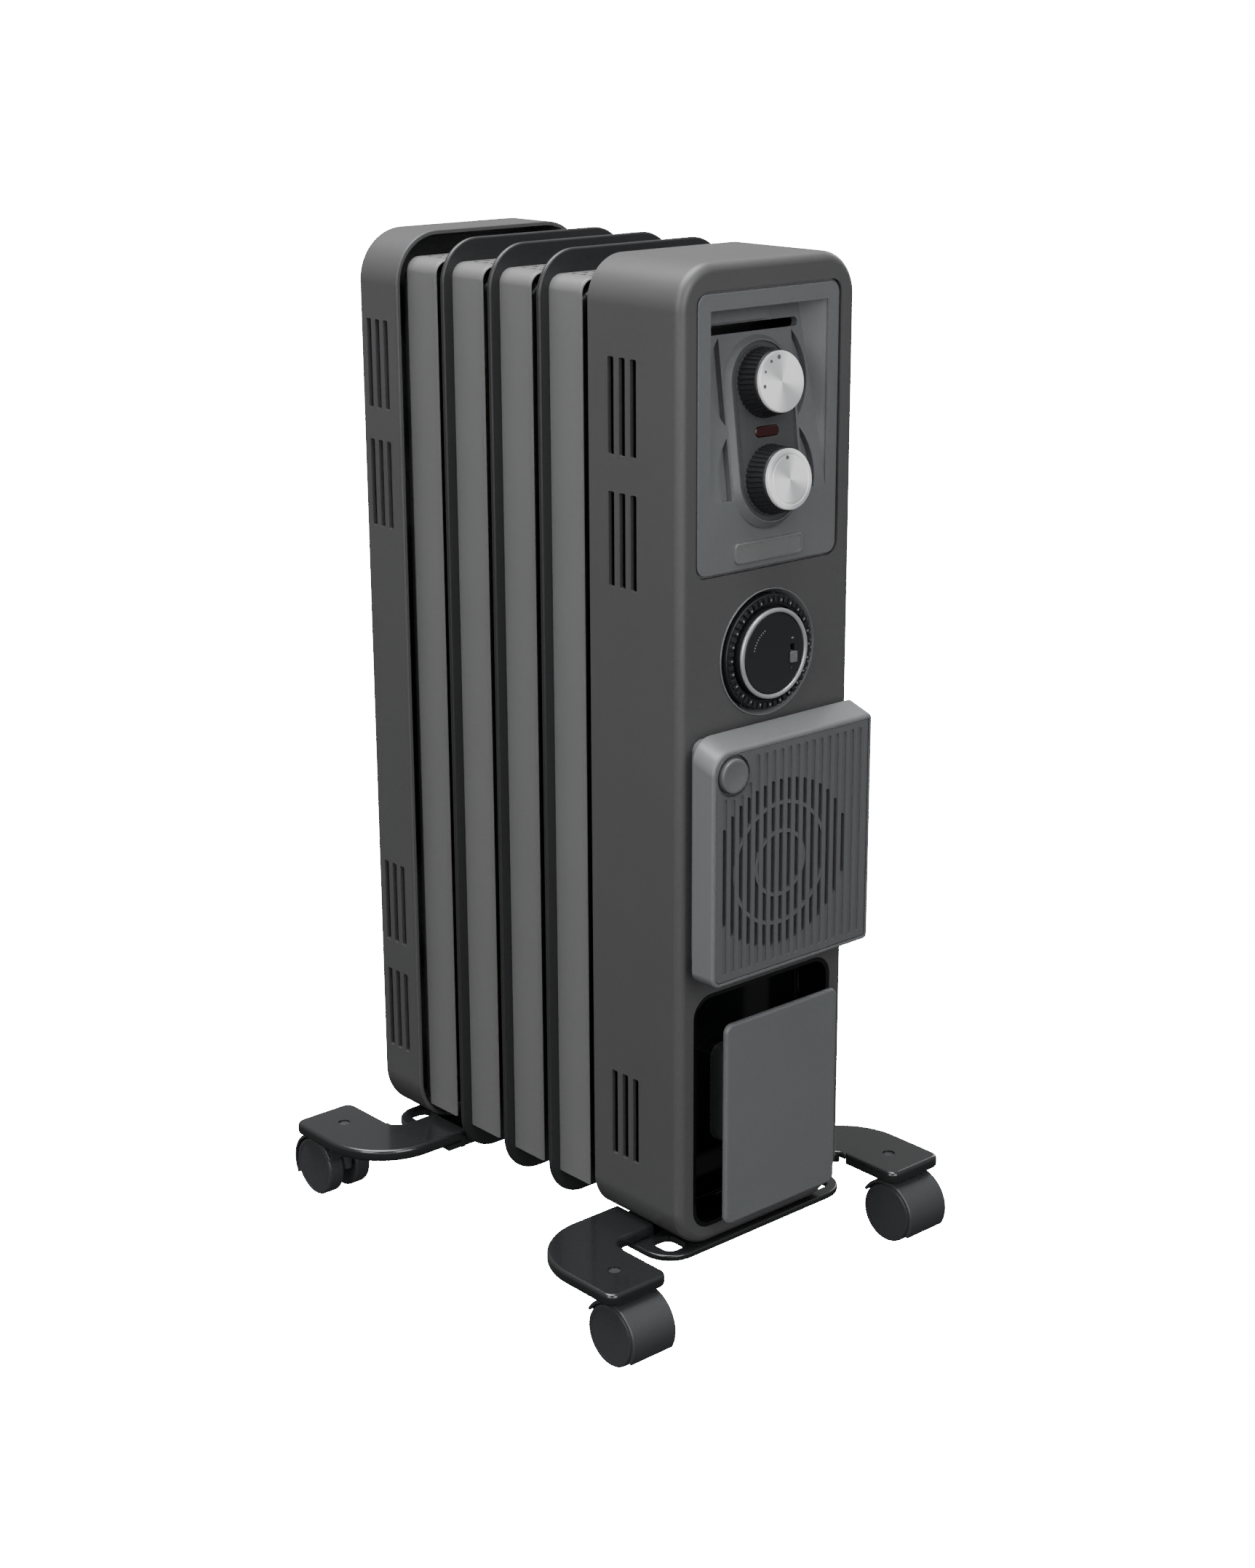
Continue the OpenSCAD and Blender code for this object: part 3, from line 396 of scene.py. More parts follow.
@dataclass(frozen=True)
class SpunMetalPaintedGlare(Finish):
    """Metal faced on a lathe: fine rings as bump, with a painted highlight and painted shade that fan out
    from the middle.
    """

    centre: tuple[float, float, float] = (0.0, 0.0, 0.0)
    tilt: float = 0.0
    # Count and turn of the painted highlight fans.
    fans: int = 2
    turn: float = 0.0
    ring_mm: float = 0.35
    # Colour of the painted shade between the painted highlights.
    dark: str = "#9a9c9e"

    def surface(self, tree: bpy.types.NodeTree) -> dict[Any, Any]:
        """Painted highlight and painted shade in a fan of light and dark about the axis, with turned rings as
        bump.

        Args:
            tree: The material's node tree.

        Returns:
            Shader input name to value or socket.
        """
        place = add_node(tree, "ShaderNodeTexCoord").outputs["Object"]
        local = add_node(tree, "ShaderNodeMapping", {"Vector": place, "Location": self.centre,
                                                     "Rotation": (math.radians(90 - self.tilt), 0.0, 0.0)},
                         vector_type="TEXTURE")
        angle = add_node(tree, "ShaderNodeTexGradient", {"Vector": local.outputs["Vector"]},
                         gradient_type="RADIAL")
        wave = add_node(tree, "ShaderNodeMath", {0: angle.outputs["Fac"], 1: self.fans * 2 * math.pi,
                                                 2: math.radians(self.turn)}, operation="MULTIPLY_ADD")
        swing = add_node(tree, "ShaderNodeMath", {0: wave.outputs[0]}, operation="SINE")
        # Painted highlight and painted shade: this fan mask mixes the dark and the bright tone into the base
        # colour.
        fan = add_node(tree, "ShaderNodeMapRange", {"Value": swing.outputs[0], "From Min": -1.0,
                                                    "From Max": 0.6}, interpolation_type="SMOOTHSTEP")
        colour = add_node(tree, "ShaderNodeMix", {0: fan.outputs["Result"], 6: linear(self.dark),
                                                  7: linear(self.tone)}, data_type="RGBA")
        rings = add_node(tree, "ShaderNodeTexWave", {"Vector": local.outputs["Vector"],
                                                     "Scale": 0.05 * math.pi / (self.ring_mm * MM),
                                                     "Distortion": 0.3, "Detail": 1.0},
                         wave_type="RINGS", rings_direction="Z")
        bump = add_node(tree, "ShaderNodeBump", {"Height": rings.outputs["Fac"], "Strength": 0.25,
                                                 "Distance": self.grain_height * MM})
        return {"Base Color": colour.outputs[2], "Roughness": self.roughness,
                "Normal": bump.outputs["Normal"]}


@dataclass(frozen=True)
class PressedEnamel(Finish):
    """Stoved enamel on pressed sheet: a faint orange peel with fine dust in the film."""

    peel_mm: float = 2.5
    peel_height: float = 0.01

    def relief(self, tree: bpy.types.NodeTree, place: bpy.types.NodeSocket) -> bpy.types.NodeSocket:
        """Orange peel under the fine grain."""
        peel = add_node(tree, "ShaderNodeTexNoise", {"Vector": place, "Scale": 1 / (self.peel_mm * MM),
                                                     "Detail": 1.0})
        first = add_node(tree, "ShaderNodeBump", {"Height": peel.outputs["Fac"], "Strength": 0.3,
                                                  "Distance": self.peel_height * MM})
        grain = add_node(tree, "ShaderNodeTexVoronoi", {"Vector": place, "Scale": 1 / (self.grain_mm * MM)})
        second = add_node(tree, "ShaderNodeBump", {"Height": grain.outputs["Distance"], "Strength": 0.2,
                                                   "Distance": self.grain_height * MM,
                                                   "Normal": first.outputs["Normal"]})
        return second.outputs["Normal"]


# Graphite ABS with a fine spark-eroded texture: an even satin grey that only glows along its edges.
HOUSING_ABS = Finish("graphite_abs_satin", "#4c4c4d", "#464647", 0.42, grain_mm=0.5, grain_height=0.03)
# Smoother ABS of the panel, the fan front and the flap: a little lighter and faintly blue.
PANEL_ABS = Finish("panel_abs_satin", "#616365", "#5b5d5f", 0.40, grain_mm=0.4, grain_height=0.015)
# The fan hood is the same ABS in a slightly lighter tone and a little smoother.
HOOD_ABS = Finish("hood_abs_satin", "#6a6c6e", "#646668", 0.38, grain_mm=0.4, grain_height=0.012)
# The ribs between the fan slots have a duller, rougher grain.
GRILLE_ABS = Finish("grille_abs_matt", "#585a5c", "#525456", 0.46, grain_mm=0.4, grain_height=0.018)
# The sunk face of the knob pod takes a darker, low-gloss ABS insert: painted shade for the sunk face.
POD_SHADE_ABS = Finish("pod_painted_shade_satin", "#434546", "#3d3f40", 0.40, grain_mm=0.4, grain_height=0.012)
# Black stoved enamel of the oil columns: dark, with a soft sheen on the hems.
COLUMN_ENAMEL = PressedEnamel("column_black_enamel", "#2a2b2c", "#242526", 0.34, grain_mm=0.5)
# Grey stoved enamel of the column covers: flat mid grey.
COVER_ENAMEL = PressedEnamel("column_cover_enamel", "#6b6b6c", "#656566", 0.45, grain_mm=0.5)
# Black ABS of skirts and the timer: a dark satin with a fine grain.
BLACK_ABS = Finish("black_abs_satin", "#232426", "#1d1e20", 0.38, grain_mm=0.3, grain_height=0.01)
# Polished black ABS inside the cord store: deep and mirror-like.
GLOSS_ABS = Finish("black_abs_gloss", "#0d0e0f", "#090a0b", 0.12, grain_height=0.002, roughness_spread=0.03)
# Glossy moulded feet: dark grey that reflects the room.
FOOT_ABS = Finish("foot_abs_gloss", "#202122", "#1c1d1e", 0.24, grain_height=0.003, coat=0.4,
                  roughness_spread=0.04)
# Nylon of the casters: black with a low sheen.
CASTER_NYLON = Finish("caster_nylon", "#3c3d3f", "#363739", 0.36, grain_mm=0.4, grain_height=0.01)
# Printed marks: flat pale ink on the metal.
INK = Finish("printed_ink", "#56585b", "#4c4e51", 0.6, grain_height=0.003)
PALE_INK = Finish("pale_printed_ink", "#8d8f92", "#85878a", 0.6, grain_height=0.003)
# Satin anodised ring and rim of the timer.
RING_ALUMINIUM = Finish("timer_ring_aluminium", "#c2c4c6", "#b2b4b6", 0.35, metallic=0.6, grain_mm=0.3,
                        grain_height=0.006)
RIM_ABS = Finish("timer_rim_abs", "#6e7072", "#68696b", 0.25, grain_height=0.003, coat=0.4)
# Badge of satin nickel.
BADGE_NICKEL = Finish("badge_nickel", "#7b7d7e", "#6f7172", 0.32, metallic=0.3, grain_mm=0.3,
                      grain_height=0.008)
# Zinc-plated steel: cool and slightly mottled.
ZINC_STEEL = Finish("zinc_plated_steel", "#a9adb1", "#8f9499", 0.35, metallic=1.0, cloud_mm=8.0,
                    grain_mm=0.8, grain_height=0.01, roughness_spread=0.1)
# Mill-finished aluminium sheet of the heat shield.
MILL_ALUMINIUM = Finish("mill_aluminium", "#c3c5c8", "#b2b4b7", 0.3, metallic=1.0, cloud_mm=20.0,
                        grain_mm=0.4, grain_height=0.008)
# Aluminium fins of the fan's heating stone, near black: painted shade, so the space behind the fan's slots
# reads dark.
HEATER_FINS_SHADE = Finish("heater_fins_painted_shade", "#1c1d1e", "#141516", 0.6, metallic=0.3, cloud_mm=12.0,
                     grain_mm=0.4, grain_height=0.01)
# Pale glass-filled nylon of switches and terminals.
PALE_NYLON = Finish("pale_nylon", "#d9d6c8", "#cfcbbb", 0.5, grain_mm=0.4, grain_height=0.01)
# Rubber of the cord bush and the wire sleeves.
BUSH_RUBBER = Finish("bush_rubber", "#1a1a1a", "#141414", 0.7, grain_mm=0.5, grain_height=0.02)
# Clear red polycarbonate of the lamp's lens.
RED_LENS = Finish("red_polycarbonate", "#3a0809", "#300607", 0.15, ior=1.58, grain_height=0.002,
                  transmission=0.3)
# Glass of the neon lamp.
NEON_GLASS = Finish("neon_lamp_glass", "#e8a070", "#d89060", 0.1, ior=1.5, grain_height=0.001,
                    transmission=0.6)
# Heat transfer oil: clear amber.
OIL = Finish("heat_transfer_oil", "#c9a24a", "#b8903a", 0.05, ior=1.47, grain_height=0.001,
             transmission=0.8)


def finish_piece(name: str, bm: Mesh, finish: Finish, body: str,
                 replaces: Sequence[str] = (), sharp: float = 32.0) -> bpy.types.Object:
    """Makes a mesh a finished piece of the heater.

    Args:
        name: The piece's name.
        bm: Its mesh in the row frame, which is freed.
        finish: Its surface.
        body: The body it moves with.
        replaces: The nodes it stands for.
        sharp: Angle in degrees above which an edge stays sharp.

    Returns:
        The new object.
    """
    data = bpy.data.meshes.new(name)
    bm.to_mesh(data)
    bm.free()
    data.materials.append(finish.material())
    data.shade_smooth()
    data.set_sharp_from_angle(angle=math.radians(sharp))
    obj = bpy.data.objects.new(name, data)
    bpy.context.scene.collection.objects.link(obj)
    even = obj.modifiers.new("even_shading", "WEIGHTED_NORMAL")
    even.keep_sharp = True
    even.weight = 80
    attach(obj, body)
    if replaces:
        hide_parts(*replaces)
    LOG.info("%s: %d faces", name, len(data.polygons))
    return obj


# --- Housing and cover --------------------------------------------------------


def vent_cutters(x: float, depths: Sequence[float], bottoms: Sequence[float], length: float,
                 width: float) -> list[Mesh]:
    """Cutters for the side slots on both sides.

    Args:
        x: Half the width of the shell.
        depths: Middle depth of each slot.
        bottoms: Lower end of each group.
        length: Length of a slot.
        width: Width of a slot.

    Returns:
        One mesh a slot.
    """
    reach = 6.0
    return [slab((side * x - reach, side * x + reach), (depth - width / 2, depth + width / 2),
                 (low, low + length), 1.0, steps=3, axis=0)
            for side in (-1, 1) for depth in depths for low in bottoms]


@dataclass
class FrontHousing:
    """Plastic case at the front that carries everything the user handles."""

    width: float = 139.0
    depth: float = 78.0
    z: Span = (44.6, 640.0)
    corner: float = 26.0
    edge: float = 5.9
    wall: float = 2.5
    slot_depths: tuple[float, ...] = (38.8, 48.35, 58.0)
    slot_bottoms: tuple[float, ...] = (529.0, 451.8, 92.2)
    slot_length: float = 56.0
    slot_width: float = 5.1
    panel_half: float = 57.0
    panel_z: Span = (462.4, 624.0)
    store_half: float = 57.6
    store_z: Span = (56.0, 209.0)
    timer: float = 38.3
    fan: float = 47.4

    def build(self) -> Mesh:
        """Shell with its openings and slots."""
        half = self.width / 2
        shell = slab((-half, half), (0, self.depth), self.z, self.corner, front=self.edge, back=0.8,
                     steps=16, edge_steps=8)
        inner = half - self.wall
        hollow = slab((-inner, inner), (self.wall, self.depth + 5),
                      (self.z[0] + self.wall, self.z[1] - self.wall), self.corner - self.wall,
                      front=self.edge - self.wall, steps=16, edge_steps=4)
        shell = combine(shell, hollow)
        through = (-2.0, 6.0)
        cutters = [slab((-self.panel_half, self.panel_half), through, self.panel_z, 7.6, steps=8),
                   slab((-self.store_half, self.store_half), through, self.store_z, 14.0, steps=10),
                   rod(self.timer, through, z=TIMER_Z, steps=96),
                   rod(self.fan, through, x=FAN_X, z=FAN_Z, steps=96)]
        cutters += vent_cutters(half, self.slot_depths, self.slot_bottoms, self.slot_length, self.slot_width)
        return behind_front(combine(shell, gather(cutters)))

    def dress(self) -> None:
        """Adds the finished shell."""
        finish_piece("housing_shell", self.build(), HOUSING_ABS, HEATER, ["front_housing"])


@dataclass
class RearCover:
    """Plastic cap over the last column."""

    width: float = 151.6
    y: Span = (250.8, 292.1)
    z: Span = (44.6, 641.0)
    corner: float = 32.0
    edge: float = 5.0
    wall: float = 2.5
    slot_depths: tuple[float, ...] = (263.8, 272.4, 281.0)
    slot_bottoms: tuple[float, ...] = (530.8, 455.0, 172.4, 96.0)
    slot_length: float = 56.0
    slot_width: float = 4.5

    def build(self) -> Mesh:
        """Shell with its slots."""
        half = self.width / 2
        shell = slab((-half, half), self.y, self.z, self.corner, front=0.8, back=self.edge, steps=16,
                     edge_steps=8)
        inner = half - self.wall
        hollow = slab((-inner, inner), (self.y[0] - 5, self.y[1] - self.wall),
                      (self.z[0] + self.wall, self.z[1] - self.wall), self.corner - self.wall,
                      back=self.edge - self.wall, steps=16, edge_steps=4)
        shell = combine(shell, hollow)
        cutters = vent_cutters(half, self.slot_depths, self.slot_bottoms, self.slot_length, self.slot_width)
        return behind_front(combine(shell, gather(cutters)))

    def dress(self) -> None:
        """Adds the finished shell."""
        finish_piece("rear_shell", self.build(), HOUSING_ABS, HEATER, ["rear_cover"])


# --- Oil columns --------------------------------------------------------------


@dataclass
class OilColumn:
    """Pressed plate with a rolled hem round it and the oil vessel in the middle."""

    index: int
    width: float = 148.0
    z: Span = (39.5, 640.0)
    corner: float = 27.0
    sheet: float = 1.6
    hem: float = 3.3
    hem_width: float = 4.0
    vessel_width: float = 100.0
    vessel_depth: float = 17.0
    vessel_inset: float = 22.0
    first: float = 69.6
    pitch: float = 45.6
    port: float = 16.0
    ports: Span = (89.5, 590.0)

    def build(self) -> Mesh:
        """Plate, hem and vessel, joined, with the ports in the vessel's faces."""
        half = self.width / 2
        face = self.first + (self.index - 1) * self.pitch
        hem = slab((-half, half), (face, face + self.hem), self.z, self.corner, front=1.4, back=1.4,
                   steps=14, edge_steps=4)
        inset = self.hem_width
        tray = slab((inset - half, half - inset), (face + self.sheet, face + self.hem + 3),
                    (self.z[0] + inset, self.z[1] - inset), self.corner - inset, front=0.6, steps=14,
                    edge_steps=2)
        plate = combine(hem, tray)
        bulge = slab((-self.vessel_width / 2, self.vessel_width / 2),
                     (face - self.vessel_depth / 2, face + self.vessel_depth / 2),
                     (self.z[0] + self.vessel_inset, self.z[1] - self.vessel_inset), 18.0, front=6.0,
                     back=6.0, steps=10, edge_steps=5)
        plate = combine(plate, bulge, Operation.JOIN)
        reach = self.vessel_depth / 2 + 1
        ports = [rod(self.port, (face - reach, face + reach), z=height, steps=48) for height in self.ports]
        return behind_front(combine(plate, gather(ports)))

    def dress(self) -> None:
        """Adds the finished column."""
        finish_piece(f"oil_column_{self.index}", self.build(), COLUMN_ENAMEL, HEATER,
                     [f"fin_{self.index}"])


@dataclass
class ColumnCover:
    """Pressed cover with plain sides and a top full of triangular air holes."""

    index: int
    width: float = 133.0
    depth: float = 28.8
    z: Span = (59.5, 626.0)
    corner: float = 9.0
    sheet: float = 1.2
    first: float = 69.6
    pitch: float = 45.6
    hole: float = 3.0
    hole_pitch: float = 8.1

    def build(self) -> Mesh:
        """Sides and top in one sheet."""
        half = self.width / 2
        back = self.first + (self.index - 1) * self.pitch
        front = back - self.depth
        shell = slab((-half, half), (front, back), (self.z[0] - 20, self.z[1]), self.corner, front=2.2,
                     steps=8, edge_steps=4)
        inner = half - self.sheet
        hollow = slab((-inner, inner), (front - 3, back + 3), (self.z[0] - 30, self.z[1] - self.sheet),
                      self.corner - self.sheet, steps=8)
        shell = combine(shell, hollow)
        cutters = [block((-half - 5, half + 5), (front - 5, back + 5), (self.z[0] - 40, self.z[0]))]
        rows = int((self.depth - 11) // self.hole_pitch) + 1
        count = int((self.width - 28) // self.hole_pitch) + 1
        for row in range(rows):
            for column in range(count):
                cutters.append(self.air_hole(14 - half + column * self.hole_pitch,
                                             front + 6 + row * self.hole_pitch, (row + column) % 2 == 1))
        return behind_front(combine(shell, gather(cutters)))

    def air_hole(self, x: float, y: float, flipped: bool) -> Mesh:
        """Cutter for one triangular hole.

        Args:
            x: Its sideways place.
            y: Its depth.
            flipped: Whether its point is towards the front.

        Returns:
            A three-sided prism through the top.
        """
        prism = bmesh.new()
        turn = Matrix.Rotation(math.radians(180 if flipped else 0), 4, "Z")
        bmesh.ops.create_cone(prism, cap_ends=True, segments=3, radius1=self.hole * MM,
                              radius2=self.hole * MM, depth=8 * MM, matrix=turn)
        bmesh.ops.translate(prism, vec=Vector((x, y, self.z[1])) * MM, verts=prism.verts)
        return prism

    def dress(self) -> None:
        """Adds the finished cover."""
        finish_piece(f"flue_cover_{self.index}", self.build(), COVER_ENAMEL, HEATER,
                     [f"column_cover_{self.index}"])


# --- Control panel ------------------------------------------------------------


@dataclass
class ControlPanel:
    """Inset panel with a sloping scoop, a grip slot and the pod under the knobs."""

    half: float = 55.5
    z: Span = (463.7, 622.7)
    corner: float = 6.6
    rebate: float = 1.0
    scoop_half: float = 46.0
    scoop_height: float = 109.0
    floor: float = 2.5
    knobs: Span = (10.8, 66.0)
    pod_foot: float = 28.0
    pod_rim: float = 24.6
    pod_height: float = 3.0
    well: float = 38.0
    well_depth: float = 4.2
    thick_floor: float = 6.5
    flare_degrees: float = 36.0

    def build(self) -> Mesh:
        """Panel, scoop, pod, wells and slot."""
        plate = slab((-self.half, self.half), (0.2, 2.5), self.z, self.corner, front=0.7, steps=8,
                     edge_steps=3)
        ledge = slab((-self.half - self.rebate, self.half + self.rebate), (1.9, 2.45),
                     (self.z[0] - self.rebate, self.z[1] + self.rebate), self.corner + self.rebate, steps=8)
        plate = combine(plate, ledge, Operation.JOIN)
        tray = slab((-self.scoop_half - 2.5, self.scoop_half + 2.5), (1.5, 17.6),
                    (SCOOP_FOOT, SCOOP_FOOT + self.scoop_height + 2.5), 0)
        panel = combine(behind_front(plate), behind_front(tray), Operation.JOIN)
        panel = combine(panel, self.scoop_space())
        reach = self.scoop_half + 3.5
        backs = [block((-reach, reach), (self.thick_floor, 40), (0, 140)),
                 block((-self.pod_foot, self.pod_foot), (self.floor, 40), (-6, 140))]
        for back in backs:
            panel = combine(panel, moved(back, scoop_matrix()))
        panel = combine(panel, moved(self.wells(), scoop_matrix()))
        lintel = block((-self.scoop_half - 1, 9), (-3.4, 1), (101.8, self.scoop_height + 1))
        panel = combine(panel, moved(lintel, scoop_matrix()), Operation.JOIN)
        panel = combine(panel, self.pod(), Operation.JOIN)
        slot = slab((-42.0, 34.0), (-3, 16), (95.4, 100.6), 2.4, steps=6)
        return combine(panel, moved(gather([slot, *self.pod_holes()]), scoop_matrix()))

    def pod_holes(self) -> list[Mesh]:
        """Holes for the two knob shafts and the lamp's window."""
        shafts = [rod(4.4, (-12, 12), z=height, steps=32) for height in self.knobs]
        return [*shafts, slab((-9.4, 9.4), (-12, 12), (35.2, 41.6), 3.0, steps=6)]

    def wells(self) -> Mesh:
        """Finger wells sunk in the floor round the knobs, outside the pod."""
        low, high = self.knobs
        first = rod(self.well, (-1, self.well_depth), z=high + 3, steps=96)
        second = rod(self.well, (-1, self.well_depth), z=low + 2, steps=96)
        sunk = combine(first, second, Operation.JOIN)
        sunk = combine(sunk, stadium(self.pod_foot - 1, self.pod_foot - 1, (-2, 10), self.knobs))
        middle = block((-self.pod_foot - 0.8, self.pod_foot + 0.8), (-3, 12), (-60, 160))
        sunk = combine(sunk, middle)
        keep = block((-self.scoop_half + 3, 40), (-2, 10), (2, 94))
        return combine(sunk, keep, Operation.KEEP)

    def scoop_space(self) -> Mesh:
        """Air in front of the scoop's floor, wider towards the front at the right."""
        space = block((-self.scoop_half, self.scoop_half), (-20, 0), (0, self.scoop_height))
        space = moved(space, scoop_matrix())
        ceiling = block((-80, 80), (-40, 40), (SCOOP_FOOT + 110.0, SCOOP_FOOT + 200))
        space = combine(space, behind_front(ceiling))
        wall = block((0, 60), (-9, 60), (-20, 140))
        turn = Matrix.Rotation(math.radians(self.flare_degrees), 4, "Z")
        return combine(space, moved(wall, place_matrix(self.scoop_half + 1, 0, SCOOP_FOOT) @ turn))

    def pod(self) -> Mesh:
        """Raised stadium round both knobs, with a rolled rim and a sunk face."""
        height = self.pod_height
        body = stadium(self.pod_rim, self.pod_foot, (-height, 1.0), self.knobs)
        sink = stadium(self.pod_rim - 0.7, self.pod_rim - 0.7, (-height - 1, 1.4 - height), self.knobs)
        body = combine(body, sink)
        seat = stadium(20.4, 20.9, (-height + 0.1, 0.6), self.knobs)
        return moved(combine(body, seat, Operation.JOIN), scoop_matrix())

    def shade_insert(self) -> Mesh:
        """Thin dark insert over the sunk face of the pod, with the same holes: painted shade for the sunk
        face.
        """
        height = self.pod_height
        face = stadium(self.pod_rim - 0.75, self.pod_rim - 0.75, (1.15 - height, 1.5 - height), self.knobs)
        seat = stadium(20.55, 21.05, (-height - 0.1, 1.5 - height), self.knobs)
        face = combine(face, seat, Operation.JOIN)
        return moved(combine(face, gather(self.pod_holes())), scoop_matrix())

    def dress(self) -> None:
        """Adds the panel."""
        finish_piece("panel_face", self.build(), PANEL_ABS, HEATER, ["control_panel"])
        # The darker insert is painted shade over the pod's sunk face.
        finish_piece("pod_painted_shade_insert", self.shade_insert(), POD_SHADE_ABS, HEATER)
        lens = slab((-9.3, 9.3), (-3.6, 0.2), (35.3, 41.5), 2.9, front=0.8, steps=6, edge_steps=3)
        finish_piece("lamp_window", moved(lens, scoop_matrix()), RED_LENS, HEATER, ["lamp_lens"])
        badge = slab((-27.0, 27.0), (-1.2, 0.2), (467.6, 479.6), 3.0, front=0.5, steps=6, edge_steps=2)
        tray = slab((-25.8, 25.8), (-3, -0.8), (468.8, 478.4), 2.2, steps=6)
        finish_piece("badge_plate", behind_front(combine(badge, tray)), BADGE_NICKEL, HEATER,
                     ["badge"])


@dataclass
class Knob:
    """Fluted skirt with a spun metal cap."""

    name: str
    body: str
    height: float
    dots: tuple[tuple[float, float], ...]
    ringed: bool
    foot: float = 3.6
    face: float = 16.4
    cap: float = 2.6
    cap_radius: float = 17.5
    shaft: float = 3.03
    flutes: int = 40
    foot_radius: float = 20.2
    front_radius: float = 18.1

    def skirt(self) -> Mesh:
        """Skirt with rounded flutes cut from the foot towards the cap."""
        skirt = bmesh.new()
        bmesh.ops.create_cone(skirt, cap_ends=True, segments=120, radius1=self.front_radius * MM,
                              radius2=self.foot_radius * MM, depth=(self.face - self.foot) * MM,
                              matrix=Matrix.Rotation(-math.pi / 2, 4, "X"))
        bmesh.ops.translate(skirt, vec=Vector((0, -(self.face + self.foot) / 2, self.height)) * MM,
                            verts=skirt.verts)
        round_edges(skirt, [e for e in skirt.edges if lies_at(e, 1, -self.face * MM)], 0.8, 3)
        cone = (self.foot_radius - self.front_radius) / (self.face - self.foot)
        lean = Matrix.Identity(4)
        lean[0][1] = cone
        lean[0][3] = self.face * cone * MM
        cutters = []
        for step in range(self.flutes):
            flute = moved(rod(0.85, (-self.face + 1.6, -self.foot + 2), x=self.front_radius, steps=8), lean)
            turn = Matrix.Rotation(2 * math.pi * step / self.flutes, 4, "Y")
            cutters.append(moved(flute, Matrix.Translation((0, 0, self.height * MM)) @ turn))
        cutters.append(rod(self.shaft, (-13.6, 2), z=self.height, steps=24))
        return moved(combine(skirt, gather(cutters)), scoop_matrix())

    def face_plate(self) -> Mesh:
        """Cap with a rolled rim and, on one knob, a turned groove."""
        outer, front, back = self.cap_radius, -self.face - self.cap, -self.face
        profile = [(0, back), (outer - 0.3, back), (outer, back - 0.3), (outer, front + 0.9),
                   (outer - 0.25, front + 0.3), (outer - 0.9, front)]
        if self.ringed:
            profile += [(outer - 2.6, front), (outer - 3.0, front + 0.35), (outer - 3.8, front + 0.35),
                        (outer - 4.2, front + 0.1)]
        profile += [(0, front + (0.1 if self.ringed else 0.0))]
        return moved(turned(profile, z=self.height, steps=96), scoop_matrix())

    def marks(self) -> Mesh:
        """Printed dots on the cap: angle in degrees from the right, and radius."""
        front = -self.face - self.cap
        reach = 14.0 if not self.ringed else 12.6
        dots = []
        for angle, radius in self.dots:
            x = reach * math.cos(math.radians(angle))
            z = self.height + reach * math.sin(math.radians(angle))
            dots.append(rod(radius, (front - 0.05, front + 0.2), x=x, z=z, steps=20))
        return moved(gather(dots), scoop_matrix())

    def dress(self) -> None:
        """Adds skirt, cap and marks."""
        centre = scoop_matrix(self.height, self.face) @ Vector((0, 0, 0))
        # Spun aluminium, lacquered: a near-white base with little metallic, partly the cap's own bright tone
        # and partly a painted reflection, with a painted highlight and painted shade in a fan that turns with
        # the knob.
        painted_glare_finish = SpunMetalPaintedGlare(f"{self.name}_spun_aluminium_painted_glare", "#ffffff", "#f4f4f4", 0.3, metallic=0.12,
                         centre=tuple(centre), tilt=SCOOP_TILT, grain_height=0.01, turn=35.0, dark="#b8babc")
        finish_piece(f"{self.name}_skirt", self.skirt(), BLACK_ABS, self.body,
                     [f"{self.name}_knob"])
        finish_piece(f"{self.name}_face", self.face_plate(), painted_glare_finish, self.body,
                     [f"{self.name}_cap"])
        finish_piece(f"{self.name}_marks", self.marks(), INK, self.body)


# --- Timer --------------------------------------------------------------------


